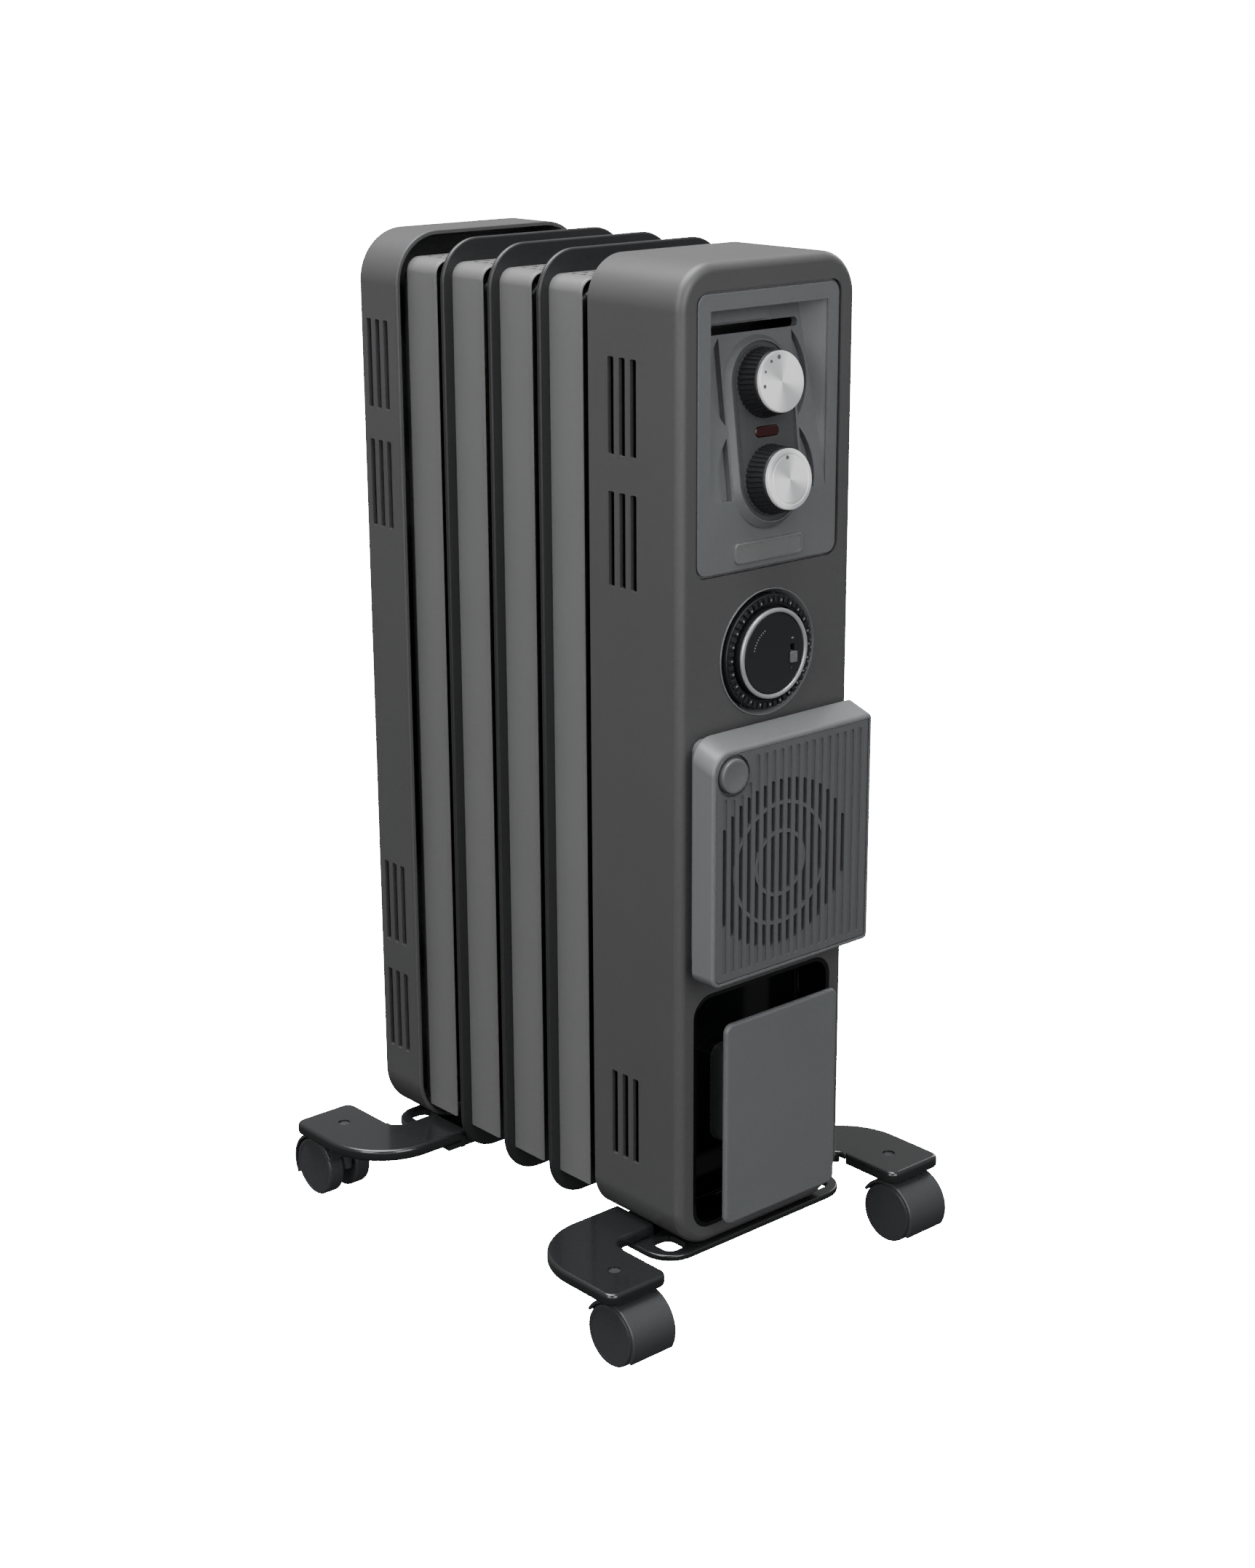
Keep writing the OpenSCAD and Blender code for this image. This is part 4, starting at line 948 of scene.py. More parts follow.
@dataclass
class Timer:
    """Dial with a ring of tappets, a silver ring and a fixed centre."""

    z: float = TIMER_Z
    dial: float = 34.3
    tappets: int = 48
    ring: float = 27.0
    ring_width: float = 2.6
    lip: float = -5.2
    hours: int = 24
    centre: float = 24.0

    def rim(self) -> Mesh:
        """Chamfered rim round the hole."""
        profile = [(38.1, 7.0), (38.1, -0.5), (37.8, -0.8), (37.4, -0.7), (34.6, 4.4), (34.6, 7.0)]
        return behind_front(turned(profile, z=self.z))

    def wheel(self) -> Mesh:
        """Dial with tappets that stand in a ring."""
        inner = self.ring + 1.6
        profile = [(6.05, 6.0), (6.05, 1.5), (inner, 1.5), (inner, -1.2), (inner + 0.3, -1.5),
                   (self.dial - 3.4, -1.5), (self.dial - 0.4, -1.5), (self.dial, -1.1), (self.dial, 6.0)]
        bore, rim = self.ring - self.ring_width, self.ring - 0.2
        sleeve = [(bore, 1.4), (bore, self.lip + 0.02), (rim, self.lip + 0.02), (rim, 1.4)]
        parts = [turned(profile, z=self.z), turned(sleeve, z=self.z)]
        for step in range(self.tappets):
            tooth = slab((self.dial - 4.4, self.dial - 0.6), (-3.2, -0.9), (-1.35, 1.35), 0.4, front=0.35,
                         steps=2, edge_steps=2)
            turn = Matrix.Rotation(2 * math.pi * step / self.tappets, 4, "Y")
            parts.append(moved(moved(tooth, turn), Matrix.Translation((0, 0, self.z * MM))))
        return behind_front(gather(parts))

    def scale_marks(self) -> Mesh:
        """Printed marks on every second tappet, one an hour."""
        marks = []
        for step in range(self.hours):
            mark = block((30.6, 32.0), (-3.25, -3.1), (-0.4, 0.4))
            turn = Matrix.Rotation(2 * math.pi * step / self.hours, 4, "Y")
            marks.append(moved(moved(mark, turn), Matrix.Translation((0, 0, self.z * MM))))
        return behind_front(gather(marks))

    def band(self) -> Mesh:
        """Silver ring with a rounded crest."""
        inner, outer = self.ring - self.ring_width, self.ring
        profile = [(inner, self.lip), (inner, -6.2), (inner + 0.4, -6.8), (inner + 1.0, -7.0),
                   (outer - 1.0, -7.0), (outer - 0.4, -6.8), (outer, -6.2), (outer, self.lip)]
        return behind_front(turned(profile, z=self.z))

    def hub(self) -> Mesh:
        """Centre disc on its post, with the switch's slot."""
        profile = [(0, 18.0), (3.9, 18.0), (4.0, 6.4), (6.0, 6.4), (6.0, -3.2), (self.centre, -3.2),
                   (self.centre, -5.6), (self.centre - 0.6, -6.2), (self.centre - 5.0, -6.2),
                   (self.centre - 6.0, -5.9), (0, -5.9)]
        disc = turned(profile, z=self.z)
        slot = slab((13.3, 16.7), (-8, -1), (self.z - 8.0, self.z + 3.4), 0.5, steps=2)
        return behind_front(combine(disc, slot))

    def centre_marks(self) -> Mesh:
        """Arc and the two switch symbols printed on the centre disc."""
        parts = []
        printed, reach = (-5.97, -5.8), 16.5
        for step in range(9):
            angle = math.radians(118 + step * 6)
            parts.append(rod(0.45, printed, x=reach * math.cos(angle), z=self.z + reach * math.sin(angle),
                             steps=8))
        for height in (self.z + 7.0, self.z - 11.0):
            parts.append(block((14.2, 15.8), printed, (height - 0.4, height + 0.4)))
        return behind_front(gather(parts))

    def slide(self) -> Mesh:
        """Override switch with a ribbed cap."""
        wide, tall = (12.4, 17.6), (self.z - 7.6, self.z - 1)
        stem = block((13.7, 16.3), (-6.6, -1.5), tall)
        foot = block(wide, (-2.7, -1.5), tall)
        cap = slab(wide, (-7.8, -6.5), tall, 0.8, front=0.3, steps=3, edge_steps=2)
        body = combine(combine(stem, foot, Operation.JOIN), cap, Operation.JOIN)
        grooves = [block((11, 19), (-9, -7.4), (self.z - 6.6 + i * 1.5, self.z - 6.1 + i * 1.5))
                   for i in range(4)]
        return behind_front(combine(body, gather(grooves)))

    def dress(self) -> None:
        """Adds the timer's pieces."""
        finish_piece("timer_rim", self.rim(), RIM_ABS, HEATER, ["timer_bezel"])
        finish_piece("timer_wheel_face", self.wheel(), BLACK_ABS, "timer_wheel",
                     ["timer_dial"])
        finish_piece("timer_scale", self.scale_marks(), PALE_INK, "timer_wheel")
        finish_piece("timer_band", self.band(), RING_ALUMINIUM, "timer_wheel", ["timer_ring"])
        finish_piece("timer_hub", self.hub(), BLACK_ABS, HEATER, ["timer_centre"])
        finish_piece("timer_hub_marks", self.centre_marks(), PALE_INK, HEATER)
        finish_piece("timer_slide", self.slide(), RIM_ABS, "timer_slider", ["timer_override"])


# --- Fan heater ---------------------------------------------------------------


@dataclass
class FanModule:
    """Box on the front with a grooved face, a round slotted outlet and a button."""

    half: float = 65.5
    z: Span = (223.5, 367.0)
    out: float = 24.0
    gap: float = 6.0
    corner: float = 14.0
    tight_corner: float = 3.2
    low_corner: float = 7.0
    top_rise: float = 6.0
    neck: float = 6.0
    wall: float = 2.5
    outlet: float = 51.5
    outlet_wide: float = 56.0
    outlet_x: float = FAN_X
    outlet_z: float = FAN_Z
    pitch: float = 6.5
    slot: float = 3.2
    groove: float = 0.95
    button: float = 10.4
    button_x: float = -49.0
    button_z: float = 351.5

    def hood(self) -> Mesh:
        """Shell with rounded outline on a narrower neck."""
        low, high = self.z
        box = self.outline(0.0, (-self.out, -self.gap))
        for value, width in ((-self.out, 1.6), (-self.gap, 1.5)):
            round_edges(box, [e for e in box.edges if lies_at(e, 1, value * MM)], width, 4)
        inner = self.half - self.neck
        stem = slab((-inner, inner), (-self.gap - 1, 0), (low + self.neck, high - self.neck), 7.0, steps=8)
        shell = combine(box, stem, Operation.JOIN)
        hollow = self.outline(self.wall, (-self.out - 5, -self.gap - self.wall))
        passage = slab((self.wall - inner, inner - self.wall), (-self.gap - self.wall - 2, 5),
                       (low + self.neck + self.wall, high - self.neck - self.wall), 4.5, steps=6)
        shell = behind_front(combine(shell, combine(hollow, passage, Operation.JOIN)))
        return self.draft(shell)

    def draft(self, shell: Mesh) -> Mesh:
        """The shell with its top rising towards the housing."""
        rise = self.top_rise / (self.out - self.gap)
        lean = Matrix.Identity(4)
        lean[2][1] = rise
        lean[2][3] = -rise * (FRONT - self.out) * MM
        top = [vert for vert in shell.verts if vert.co.z > (self.z[1] - 18) * MM]
        bmesh.ops.transform(shell, matrix=lean, verts=top)
        return shell

    def outline(self, inset: float, y: Span) -> Mesh:
        """Block with a corner radius of its own at each corner, drawn in by an inset."""
        bm = block((inset - self.half, self.half - inset), y, (self.z[0] + inset, self.z[1] - inset))
        middle = (self.z[0] + self.z[1]) / 2 * MM
        for sign, upper, radius in ((-1, True, self.corner), (-1, False, self.low_corner),
                                    (1, True, self.tight_corner), (1, False, self.tight_corner)):
            edges = [e for e in bm.edges if is_along(e, 1) and e.verts[0].co.x * sign > 0
                     and (e.verts[0].co.z > middle) is upper]
            round_edges(bm, edges[:1], max(radius - inset, 0.6), 12)
        return bm

    def chord(self, x: float) -> float:
        """Half the length of a slot at a sideways distance from the outlet's middle."""
        return self.outlet * math.sqrt(1 - (x / self.outlet_wide) ** 2)

    def face(self) -> Mesh:
        """Grooved face with the slots cut through inside the circle, and its two rings."""
        inset = self.wall + 0.2
        low, high = self.z[0] + inset, self.z[1] - inset
        front, back = -self.out + 0.2, -self.out + 4.2
        plate = self.outline(inset, (front, back))
        round_edges(plate, [e for e in plate.edges if lies_at(e, 1, front * MM)], 0.8, 2)
        cutters, slots = [], []
        count = int(self.outlet_wide // self.pitch)
        first = math.ceil((6 - self.half - self.outlet_x) / self.pitch)
        last = math.floor((self.half - 9 - self.outlet_x) / self.pitch)
        for step in range(first, last + 1):
            x = self.outlet_x + step * self.pitch
            span = (x - self.slot / 2, x + self.slot / 2)
            top = high - 4.0
            if x < self.button_x + 14.0:
                top = self.button_z - math.sqrt(max(14.6 ** 2 - (x - self.button_x) ** 2, 0.0))
            cutters.append(slab(span, (front - 3, front + self.groove), (low + 4.0, top), 1.2, steps=3))
            if abs(step) <= count:
                reach = self.chord(step * self.pitch)
                slots.append(slab(span, (front - 3, back + 3), (self.outlet_z - reach, self.outlet_z + reach),
                                  1.5, steps=4))
        plate = combine(plate, gather(cutters))
        plate = combine(plate, gather(slots))
        rings = []
        for radius in (19.6, 37.0):
            rings.append(turned([(radius - 1.1, front + 0.5), (radius + 1.1, front + 0.5),
                                 (radius + 1.1, back - 0.4), (radius - 1.1, back - 0.4)],
                                x=self.outlet_x, z=self.outlet_z))
        plate = combine(plate, gather(rings), Operation.JOIN)
        collar = rod(self.button + 3.2, (front - 0.15, back + 4.0), x=self.button_x, z=self.button_z,
                     front=0.6)
        plate = combine(plate, collar, Operation.JOIN)
        ditch = turned([(self.button - 0.5, front - 2), (self.button + 2.4, front - 2),
                        (self.button + 2.0, front + 2.6), (self.button - 0.5, front + 2.6)],
                       x=self.button_x, z=self.button_z)
        plate = combine(plate, ditch)
        bore = rod(self.button + 0.08, (front - 3, back + 9), x=self.button_x, z=self.button_z, steps=64)
        return behind_front(combine(plate, bore))

    def push(self) -> Mesh:
        """Button with a dished, rounded face."""
        front, back, radius = -self.out - 2.0, -self.out + 8.0, self.button
        profile = [(0, back), (radius, back), (radius, front + 1.0), (radius - 0.4, front + 0.3),
                   (radius - 1.2, front), (radius - 2.4, front + 0.15), (radius - 5.0, front + 0.5),
                   (0, front + 0.8)]
        return behind_front(turned(profile, x=self.button_x, z=self.button_z, steps=72))

    def dress(self) -> None:
        """Adds hood, face and button."""
        finish_piece("fan_hood", self.hood(), HOOD_ABS, HEATER, ["fan_shell"])
        finish_piece("fan_face", self.face(), GRILLE_ABS, HEATER, ["fan_grille"])
        finish_piece("fan_push_cap", self.push(), PANEL_ABS, "fan_push", ["fan_button"])


# --- Cord store ---------------------------------------------------------------


@dataclass
class CordStore:
    """Polished cup with a flap on a post, round which the cord is wound."""

    half: float = 57.3
    z: Span = (56.2, 208.8)
    depth: float = 28.0
    wall: float = 2.5
    corner: float = 13.8
    flap_half: float = 47.0
    flap_z: Span = (63.0, 194.0)
    flap_out: float = 17.5
    flap_sheet: float = 3.5
    post_half: float = 20.0
    inlet: Span = (-35.0, 200.25)

    def cup(self) -> Mesh:
        """Cup open to the front, with the cord inlet's hole."""
        cup = slab((-self.half, self.half), (0.3, self.depth), self.z, self.corner, front=0.0, back=2.0,
                   steps=12, edge_steps=3)
        inner = self.half - self.wall
        hollow = slab((-inner, inner), (-5, self.depth - self.wall),
                      (self.z[0] + self.wall, self.z[1] - self.wall), self.corner - self.wall, back=3.0,
                      steps=12, edge_steps=4)
        cup = combine(cup, hollow)
        inlet_x, inlet_z = self.inlet
        inlet = rod(5.5, (self.depth - 8, self.depth + 3), x=inlet_x, z=inlet_z, steps=32)
        return behind_front(combine(cup, inlet))

    def flap(self) -> Mesh:
        """Flap with rounded edges on its hollow post."""
        flap = slab((-self.flap_half, self.flap_half), (-self.flap_out, -self.flap_out + self.flap_sheet),
                    self.flap_z, 5.5, front=1.9, back=0.8, steps=8, edge_steps=5)
        middle = sum(self.flap_z) / 2
        span = (middle - 32, middle + 32)
        post = slab((-self.post_half, self.post_half),
                    (-self.flap_out + self.flap_sheet - 1, self.depth - self.wall), span, 8.0, steps=8)
        inner = self.post_half - self.wall
        hollow = slab((-inner, inner), (-self.flap_out + self.flap_sheet, self.depth + 3),
                      (span[0] + self.wall, span[1] - self.wall), 5.5, steps=8)
        return behind_front(combine(flap, combine(post, hollow), Operation.JOIN))

    def dress(self) -> None:
        """Adds cup and flap."""
        finish_piece("cord_cup", self.cup(), GLOSS_ABS, HEATER, ["cord_recess"])
        finish_piece("cord_door", self.flap(), PANEL_ABS, HEATER, ["cord_flap"])


# --- Feet and casters ---------------------------------------------------------


@dataclass
class Foot:
    """Moulded bracket with two curved arms and a saddle under the heater."""

    side: Side
    name: str
    node: str
    step: float
    tongue: float
    pin_depth: float
    pin_x: float = PIN_X
    pad_inner: float = 97.0
    pad: float = 46.0
    pad_front: float = -24.5
    arc: float = 17.7
    top: float = 52.0
    sheet: float = 3.5
    rim: float = 8.4
    saddle: Span = (40.0, 44.2)
    lip: float = 79.5
    lip_front: float = -3.4
    depth: float = 63.7
    clamp_x: float = 23.1

    def arm_outline(self, inset: float, low: float, high: float) -> Mesh:
        """Right arm as a solid between two heights, drawn in by an inset all round.

        Args:
            inset: Distance the outline is drawn in.
            low: Bottom of the solid.
            high: Top of the solid.

        Returns:
            A closed mesh.
        """
        outer = self.pad_inner + self.pad - inset
        inner = self.pad_inner + inset
        corner = max(7.0 - inset, 1.0)
        pad = slab((inner, outer), (self.pad_front + inset, self.arc + 12), (low, high), 0, axis=2)
        square_corners = [e for e in pad.edges if is_along(e, 2)
                          and e.verts[0].co.y < (self.pad_front + inset + 1) * MM]
        round_edges(pad, square_corners, corner, 8)
        quarter = self.upright(self.pad - inset, self.pad_inner, self.arc, low, high, 96)
        past = (low - 1, high + 1)
        keep = block((self.pad_inner - 1, outer + 5), (self.arc, self.arc + self.pad + 5), past)
        quarter = combine(quarter, keep, Operation.KEEP)
        trim = block((inner - 1, outer + 5), (self.arc, self.arc + 40), past)
        pad = combine(pad, trim)
        arm = combine(pad, quarter, Operation.JOIN)
        reach = self.pad - inset
        web = block((self.step, self.pad_inner + 0.5), (self.arc + 10 + inset, self.arc + reach), (low, high))
        fillet = block((self.pad_inner - 10, self.pad_inner + inset + 0.5), (self.arc, self.arc + 30),
                       (low, high))
        bite = self.upright(10 + inset, self.pad_inner - 10, self.arc, low - 1, high + 1, 96)
        fillet = combine(fillet, bite)
        web = combine(web, fillet, Operation.JOIN)
        return combine(arm, web, Operation.JOIN)

    def upright(self, radius: float, x: float, y: float, low: float, high: float, steps: int) -> Mesh:
        """Upright cylinder at a place, between two heights."""
        bm = bmesh.new()
        bmesh.ops.create_cone(bm, cap_ends=True, segments=steps, radius1=radius * MM, radius2=radius * MM,
                              depth=(high - low) * MM)
        bmesh.ops.translate(bm, vec=Vector((x, y, (low + high) / 2)) * MM, verts=bm.verts)
        return bm

    def arm(self) -> Mesh:
        """Right arm with its rounded upper edge and the hollow under it."""
        low = self.top - self.rim
        arm = self.arm_outline(0.0, low, self.top)
        bmesh.ops.dissolve_limit(arm, angle_limit=math.radians(1), verts=arm.verts, edges=arm.edges)
        crown = [e for e in arm.edges if lies_at(e, 2, self.top * MM) or lies_at(e, 2, low * MM)]
        crown = [e for e in crown if not lies_at(e, 0, self.step * MM)]
        round_edges(arm, crown, 2.6, 4)
        hollow = self.arm_outline(3.5, low - 4, self.top - self.sheet)
        arm = combine(arm, hollow)
        boss = self.upright(9.0, self.pin_x, 0, low + 0.4, self.top - 1, 32)
        arm = combine(arm, boss, Operation.JOIN)
        riser = block((self.step, self.step + 3.5), (self.arc + 10, self.arc + self.pad),
                      (self.saddle[0], self.top - 2.7))
        return combine(arm, riser, Operation.JOIN)

    def build(self) -> Mesh:
        """The whole bracket in the row frame."""
        low, high = self.saddle
        plate = slab((-self.lip, self.lip), (self.lip_front, self.depth), (low, high), 0, axis=2)
        front_corners = [e for e in plate.edges if is_along(e, 2) and e.verts[0].co.y < 0]
        round_edges(plate, front_corners, 20.0, 12)
        outline = [e for e in plate.edges if lies_at(e, 2, low * MM) or lies_at(e, 2, high * MM)]
        round_edges(plate, outline, 1.2, 3)
        slots = [slab((x - 8, x + 8), (4.6, 23.3), (low - 2, high + 2), 6.0, steps=8, axis=2)
                 for x in (-62.5, 62.5)]
        plate = combine(plate, gather(slots))
        tongue = slab((-28, 28), (self.depth - 4, self.depth + self.tongue), (low, high), 2.0, steps=4,
                      axis=2)
        plate = combine(plate, tongue, Operation.JOIN)
        arm = self.arm()
        copy = arm.copy()
        plate = combine(plate, arm, Operation.JOIN)
        plate = combine(plate, moved(copy, Matrix.Scale(-1, 4, (1, 0, 0))), Operation.JOIN)
        holes = [self.upright(4.05, x, 0, 20, 70, 32) for x in (-self.pin_x, self.pin_x)]
        clamp_y = self.depth + self.tongue - 12
        holes += [self.upright(3.4, x, clamp_y, 20, 70, 24) for x in (-self.clamp_x, self.clamp_x)]
        plate = combine(plate, gather(holes))
        turn = Matrix.Rotation(0 if self.side is Side.FRONT else math.pi, 4, "Z")
        return moved(plate, place_matrix(depth=self.pin_depth) @ turn)

    def dress(self) -> None:
        """Adds the bracket."""
        finish_piece(self.name, self.build(), FOOT_ABS, HEATER, [self.node], sharp=40.0)


@dataclass
class Caster:
    """Hooded twin-wheel caster on a pin."""

    side: Side
    hand: float
    place: str
    pin_x: float = PIN_X
    wheel: float = 19.6
    trail: float = 14.0
    pin: float = 4.0
    web: float = 4.5
    hood: float = 22.4
    hood_sheet: float = 2.0
    hood_half: float = 16.9
    top: float = 42.8
    wheels: Span = (5.0, 16.5)

    def matrix(self) -> Matrix:
        """Place of the caster's pin."""
        depth = PIN_DEPTHS[self.side]
        turn = Matrix.Rotation(0 if self.side is Side.FRONT else math.pi, 4, "Z")
        return place_matrix(x=self.hand * self.pin_x, depth=depth) @ turn

    def axle_disc(self, radius: float, x: Span, steps: int = 72, edge: float = 0.0) -> Mesh:
        """Disc about the axle between two sideways places."""
        bm = bmesh.new()
        bmesh.ops.create_cone(bm, cap_ends=True, segments=steps, radius1=radius * MM, radius2=radius * MM,
                              depth=(x[1] - x[0]) * MM, matrix=Matrix.Rotation(math.pi / 2, 4, "Y"))
        bmesh.ops.translate(bm, vec=Vector(((x[0] + x[1]) / 2, -self.trail, self.wheel)) * MM, verts=bm.verts)
        if edge:
            rims = [e for e in bm.edges if lies_at(e, 0, x[0] * MM) or lies_at(e, 0, x[1] * MM)]
            round_edges(bm, rims, edge, 4)
        return bm

    def about_axle(self, degrees: float) -> Matrix:
        """Turn about the axle after a move to it."""
        return Matrix.Translation(Vector((0, -self.trail, self.wheel)) * MM) @ Matrix.Rotation(
            math.radians(degrees), 4, "X")

    def fork(self) -> Mesh:
        """Pin, collar, web and hood."""
        rim = self.axle_disc(self.hood, (-self.hood_half, self.hood_half), steps=96, edge=1.0)
        inside = (-self.hood_half - 2, self.hood_half + 2)
        rim = combine(rim, self.axle_disc(self.hood - self.hood_sheet, inside, steps=96))
        web = self.axle_disc(self.hood - 1.0, (-self.web, self.web), steps=96)
        solid = combine(rim, web, Operation.JOIN)
        low_cut = block((-40, 40), (-60, 60), (-60, 0))
        low_cut = moved(low_cut, self.about_axle(30.0))
        solid = combine(solid, low_cut)
        hub = self.axle_disc(7.0, (-self.web, self.web), steps=48)
        solid = combine(solid, hub, Operation.JOIN)
        collar = self.upright(8.0, 40.2, self.top)
        stem = combine(self.upright(self.pin, self.wheel + 4, 50.8), collar, Operation.JOIN)
        stem = combine(stem, self.upright(self.web, self.wheel, 40.6), Operation.JOIN)
        solid = combine(solid, stem, Operation.JOIN)
        return combine(solid, self.axle_disc(3.05, (-30, 30), steps=32))

    def upright(self, radius: float, low: float, high: float) -> Mesh:
        """Upright cylinder on the pin's axis."""
        bm = bmesh.new()
        bmesh.ops.create_cone(bm, cap_ends=True, segments=40, radius1=radius * MM, radius2=radius * MM,
                              depth=(high - low) * MM)
        bmesh.ops.translate(bm, vec=Vector((0, 0, (low + high) / 2)) * MM, verts=bm.verts)
        return bm

    def wheel_pair(self) -> Mesh:
        """Two wheels with dished faces on a common axle."""
        inner, outer = self.wheels
        parts = []
        for sign in (-1, 1):
            span = (sign * inner, sign * outer) if sign > 0 else (-outer, -inner)
            disc = self.axle_disc(self.wheel, span, steps=72, edge=1.6)
            face = (outer - 0.3, outer + 2) if sign > 0 else (-outer - 2, 0.3 - outer)
            disc = combine(disc, self.axle_disc(self.wheel - 3.0, face, steps=64))
            parts.append(disc)
        axle = self.axle_disc(3.0, (-inner - 1, inner + 1), steps=32)
        whole = combine(parts[0], axle, Operation.JOIN)
        return combine(whole, parts[1], Operation.JOIN)

    def dress(self) -> None:
        """Adds fork and wheels."""
        fork, wheels = f"caster_{self.place}", f"wheels_{self.place}"
        finish_piece(f"fork_{self.place}", moved(self.fork(), self.matrix()), CASTER_NYLON, f"{fork}_body",
                     [fork])
        finish_piece(f"twin_wheels_{self.place}", moved(self.wheel_pair(), self.matrix()), CASTER_NYLON,
                     f"{wheels}_body", [wheels])


# --- Inner parts --------------------------------------------------------------


@dataclass
class InnerParts:
    """Nodes that stay as they are and only take a finish."""

    # The heater's fins take a near-black finish: painted shade behind the fan's slots.
    finishes: dict[str, Finish] = field(default_factory=lambda: {
        "fin_1": COLUMN_ENAMEL, "fin_5": COLUMN_ENAMEL, "header_collars": COLUMN_ENAMEL,
        "filler_plug": ZINC_STEEL, "oil_charge": OIL, "heating_element": ZINC_STEEL,
        "housing_screws": ZINC_STEEL, "thermal_cutout": ZINC_STEEL, "heat_shield": MILL_ALUMINIUM,
        "indicator_lamp": NEON_GLASS, "rotary_switch": PALE_NYLON, "thermostat": ZINC_STEEL,
        "terminal_block": PALE_NYLON, "wiring_loom": BUSH_RUBBER, "mode_shaft": ZINC_STEEL,
        "thermostat_shaft": ZINC_STEEL, "timer_movement": PALE_NYLON, "fan_switch": PALE_NYLON,
        "ptc_heater": HEATER_FINS_SHADE, "fan_shroud": BLACK_ABS, "fan_motor": ZINC_STEEL,
        "fan_rotor": BLACK_ABS, "cord_inlet": BUSH_RUBBER, "foot_clamps": ZINC_STEEL})

    def dress(self) -> None:
        """Gives each node its finish."""
        for node, finish in self.finishes.items():
            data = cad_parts[node].data
            data.materials.clear()
            data.materials.append(finish.material())
            LOG.info("%s: %s", node, finish.name)


# --- Studio -------------------------------------------------------------------


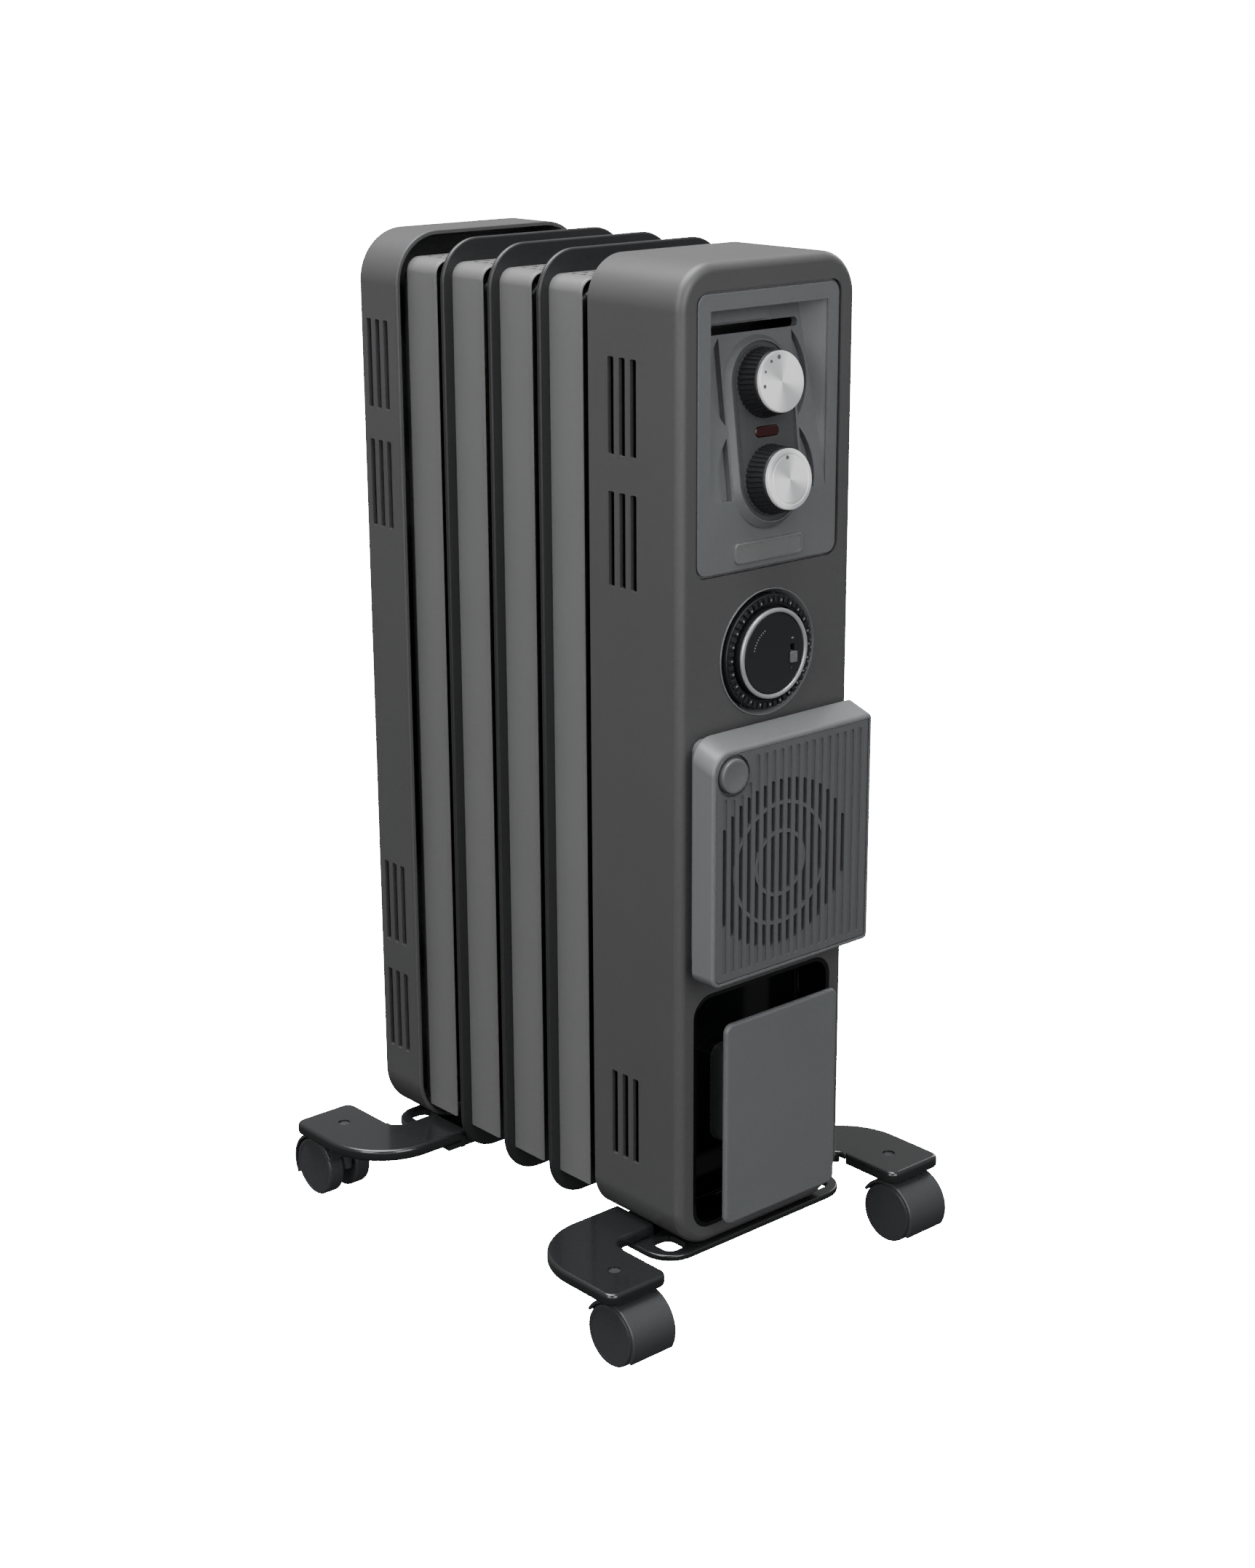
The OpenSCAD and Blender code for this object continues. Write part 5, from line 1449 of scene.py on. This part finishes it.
@dataclass
class Studio:
    """White backdrop, soft lights and the camera."""

    camera_place: tuple[float, float, float] = (-1.0163, -1.1747, 0.7852)
    azimuth: float = -41.35
    elevation: float = 16.62
    roll: float = -0.25
    lens: float = 58.67
    shift: tuple[float, float] = (-0.00195, -0.0226)
    room: Span = (0.04, 0.5)
    paper: float = 30.0
    floor_radius: float = 8.0

    def light(self, name: str, place: tuple[float, float, float], target: tuple[float, float, float],
              size: tuple[float, float], power: float) -> None:
        """Rectangular soft light.

        Args:
            name: The light's name.
            place: Where it stands.
            target: What it points at.
            size: Its width and height.
            power: Its power in watts.
        """
        lamp = bpy.data.lights.new(name, "AREA")
        lamp.shape = "RECTANGLE"
        lamp.size, lamp.size_y = size
        lamp.energy = power
        obj = bpy.data.objects.new(name, lamp)
        obj.location = place
        obj.rotation_euler = (Vector(target) - Vector(place)).to_track_quat("-Z", "Y").to_euler()
        bpy.context.scene.collection.objects.link(obj)

    def world(self) -> None:
        """White backdrop round a dim room whose light falls from above."""
        world = bpy.data.worlds.new("studio_world")
        world.use_nodes = True
        tree = world.node_tree
        tree.nodes.clear()
        way = add_node(tree, "ShaderNodeTexCoord").outputs["Generated"]
        up = add_node(tree, "ShaderNodeSeparateXYZ", {"Vector": way}).outputs["Z"]
        glow = add_node(tree, "ShaderNodeMapRange", {"Value": up, "From Min": -0.6, "From Max": 1.0,
                                                     "To Min": self.room[0], "To Max": self.room[1]})
        room = add_node(tree, "ShaderNodeBackground", {"Color": linear("#ffffff"),
                                                       "Strength": glow.outputs["Result"]})
        paper = add_node(tree, "ShaderNodeBackground", {"Color": linear("#ffffff"), "Strength": self.paper})
        seen = add_node(tree, "ShaderNodeLightPath").outputs["Is Camera Ray"]
        both = add_node(tree, "ShaderNodeMixShader", {0: seen, 1: room.outputs["Background"],
                                                      2: paper.outputs["Background"]})
        add_node(tree, "ShaderNodeOutputWorld", {"Surface": both.outputs["Shader"]})
        bpy.context.scene.world = world

    def floor(self) -> None:
        """White paper floor, evenly lit, that casts nothing back on the heater."""
        disc = bmesh.new()
        bmesh.ops.create_circle(disc, cap_ends=True, segments=96, radius=self.floor_radius)
        bmesh.ops.translate(disc, vec=Vector((0.0, 0.0, -0.001)), verts=disc.verts)
        sheet = bpy.data.meshes.new("paper_floor")
        disc.to_mesh(sheet)
        disc.free()
        paper = bpy.data.materials.new("white_paper")
        paper.use_nodes = True
        tree = paper.node_tree
        tree.nodes.clear()
        glow = add_node(tree, "ShaderNodeEmission", {"Color": linear("#ffffff"), "Strength": self.paper})
        add_node(tree, "ShaderNodeOutputMaterial", {"Surface": glow.outputs["Emission"]})
        sheet.materials.append(paper)
        obj = bpy.data.objects.new("paper_floor", sheet)
        obj.visible_diffuse = obj.visible_glossy = obj.visible_transmission = obj.visible_shadow = False
        bpy.context.scene.collection.objects.link(obj)

    def camera(self) -> None:
        """Camera at the viewing angle."""
        data = bpy.data.cameras.new("studio_camera")
        data.lens = self.lens
        data.sensor_fit = "AUTO"
        data.sensor_width = 36.0
        data.shift_x, data.shift_y = self.shift
        data.clip_start, data.clip_end = 0.05, 50.0
        obj = bpy.data.objects.new("studio_camera", data)
        turn = (Matrix.Rotation(math.radians(self.azimuth), 4, "Z")
                @ Matrix.Rotation(math.radians(90 - self.elevation), 4, "X")
                @ Matrix.Rotation(math.radians(self.roll), 4, "Z"))
        obj.matrix_world = Matrix.Translation(self.camera_place) @ turn
        bpy.context.scene.collection.objects.link(obj)
        bpy.context.scene.camera = obj

    def build(self) -> None:
        """Sets up lights, world, floor and camera."""
        self.world()
        self.floor()
        middle = (0.0, 0.0, 0.35)
        self.light("top", (-0.3, 0.2, 2.4), middle, (1.8, 1.8), 114.0)
        self.light("left", (-2.4, -0.8, 1.4), middle, (1.0, 1.6), 28.5)
        self.light("front", (-0.4, -2.3, 1.3), middle, (1.2, 1.8), 33.0)
        self.light("low", (-1.1, -1.4, 0.3), (-0.1, -0.1, 0.05), (1.4, 0.2), 3.5)
        self.light("right", (2.4, 0.6, 1.3), middle, (1.0, 1.6), 16.0)
        self.camera()


def main() -> None:
    """Builds the heater and its studio."""
    logging.basicConfig(level=logging.INFO, format="%(name)s: %(message)s")
    Studio().build()
    FrontHousing().dress()
    RearCover().dress()
    for index in (2, 3, 4):
        OilColumn(index).dress()
    for index in (2, 3, 4, 5):
        ColumnCover(index).dress()
    ControlPanel().dress()
    Knob("mode", "mode_control", 66.0, ((94, 1.35), (121, 1.0), (152, 0.85), (186, 1.15)), False).dress()
    Knob("thermostat", "thermostat_control", 10.8, ((94, 1.2),), True).dress()
    Timer().dress()
    FanModule().dress()
    CordStore().dress()
    Foot(Side.FRONT, "front_foot_bracket", "front_foot", 62.7, 38.3, 2.4).dress()
    Foot(Side.REAR, "rear_foot_bracket", "rear_foot", 65.4, 0.0, 279.6).dress()
    for side, end in ((Side.FRONT, "front"), (Side.REAR, "rear")):
        for hand, word in ((-1.0, "left"), (1.0, "right")):
            Caster(side, hand, f"{end}_{word}").dress()
    InnerParts().dress()


if __name__ == "__main__":
    main()
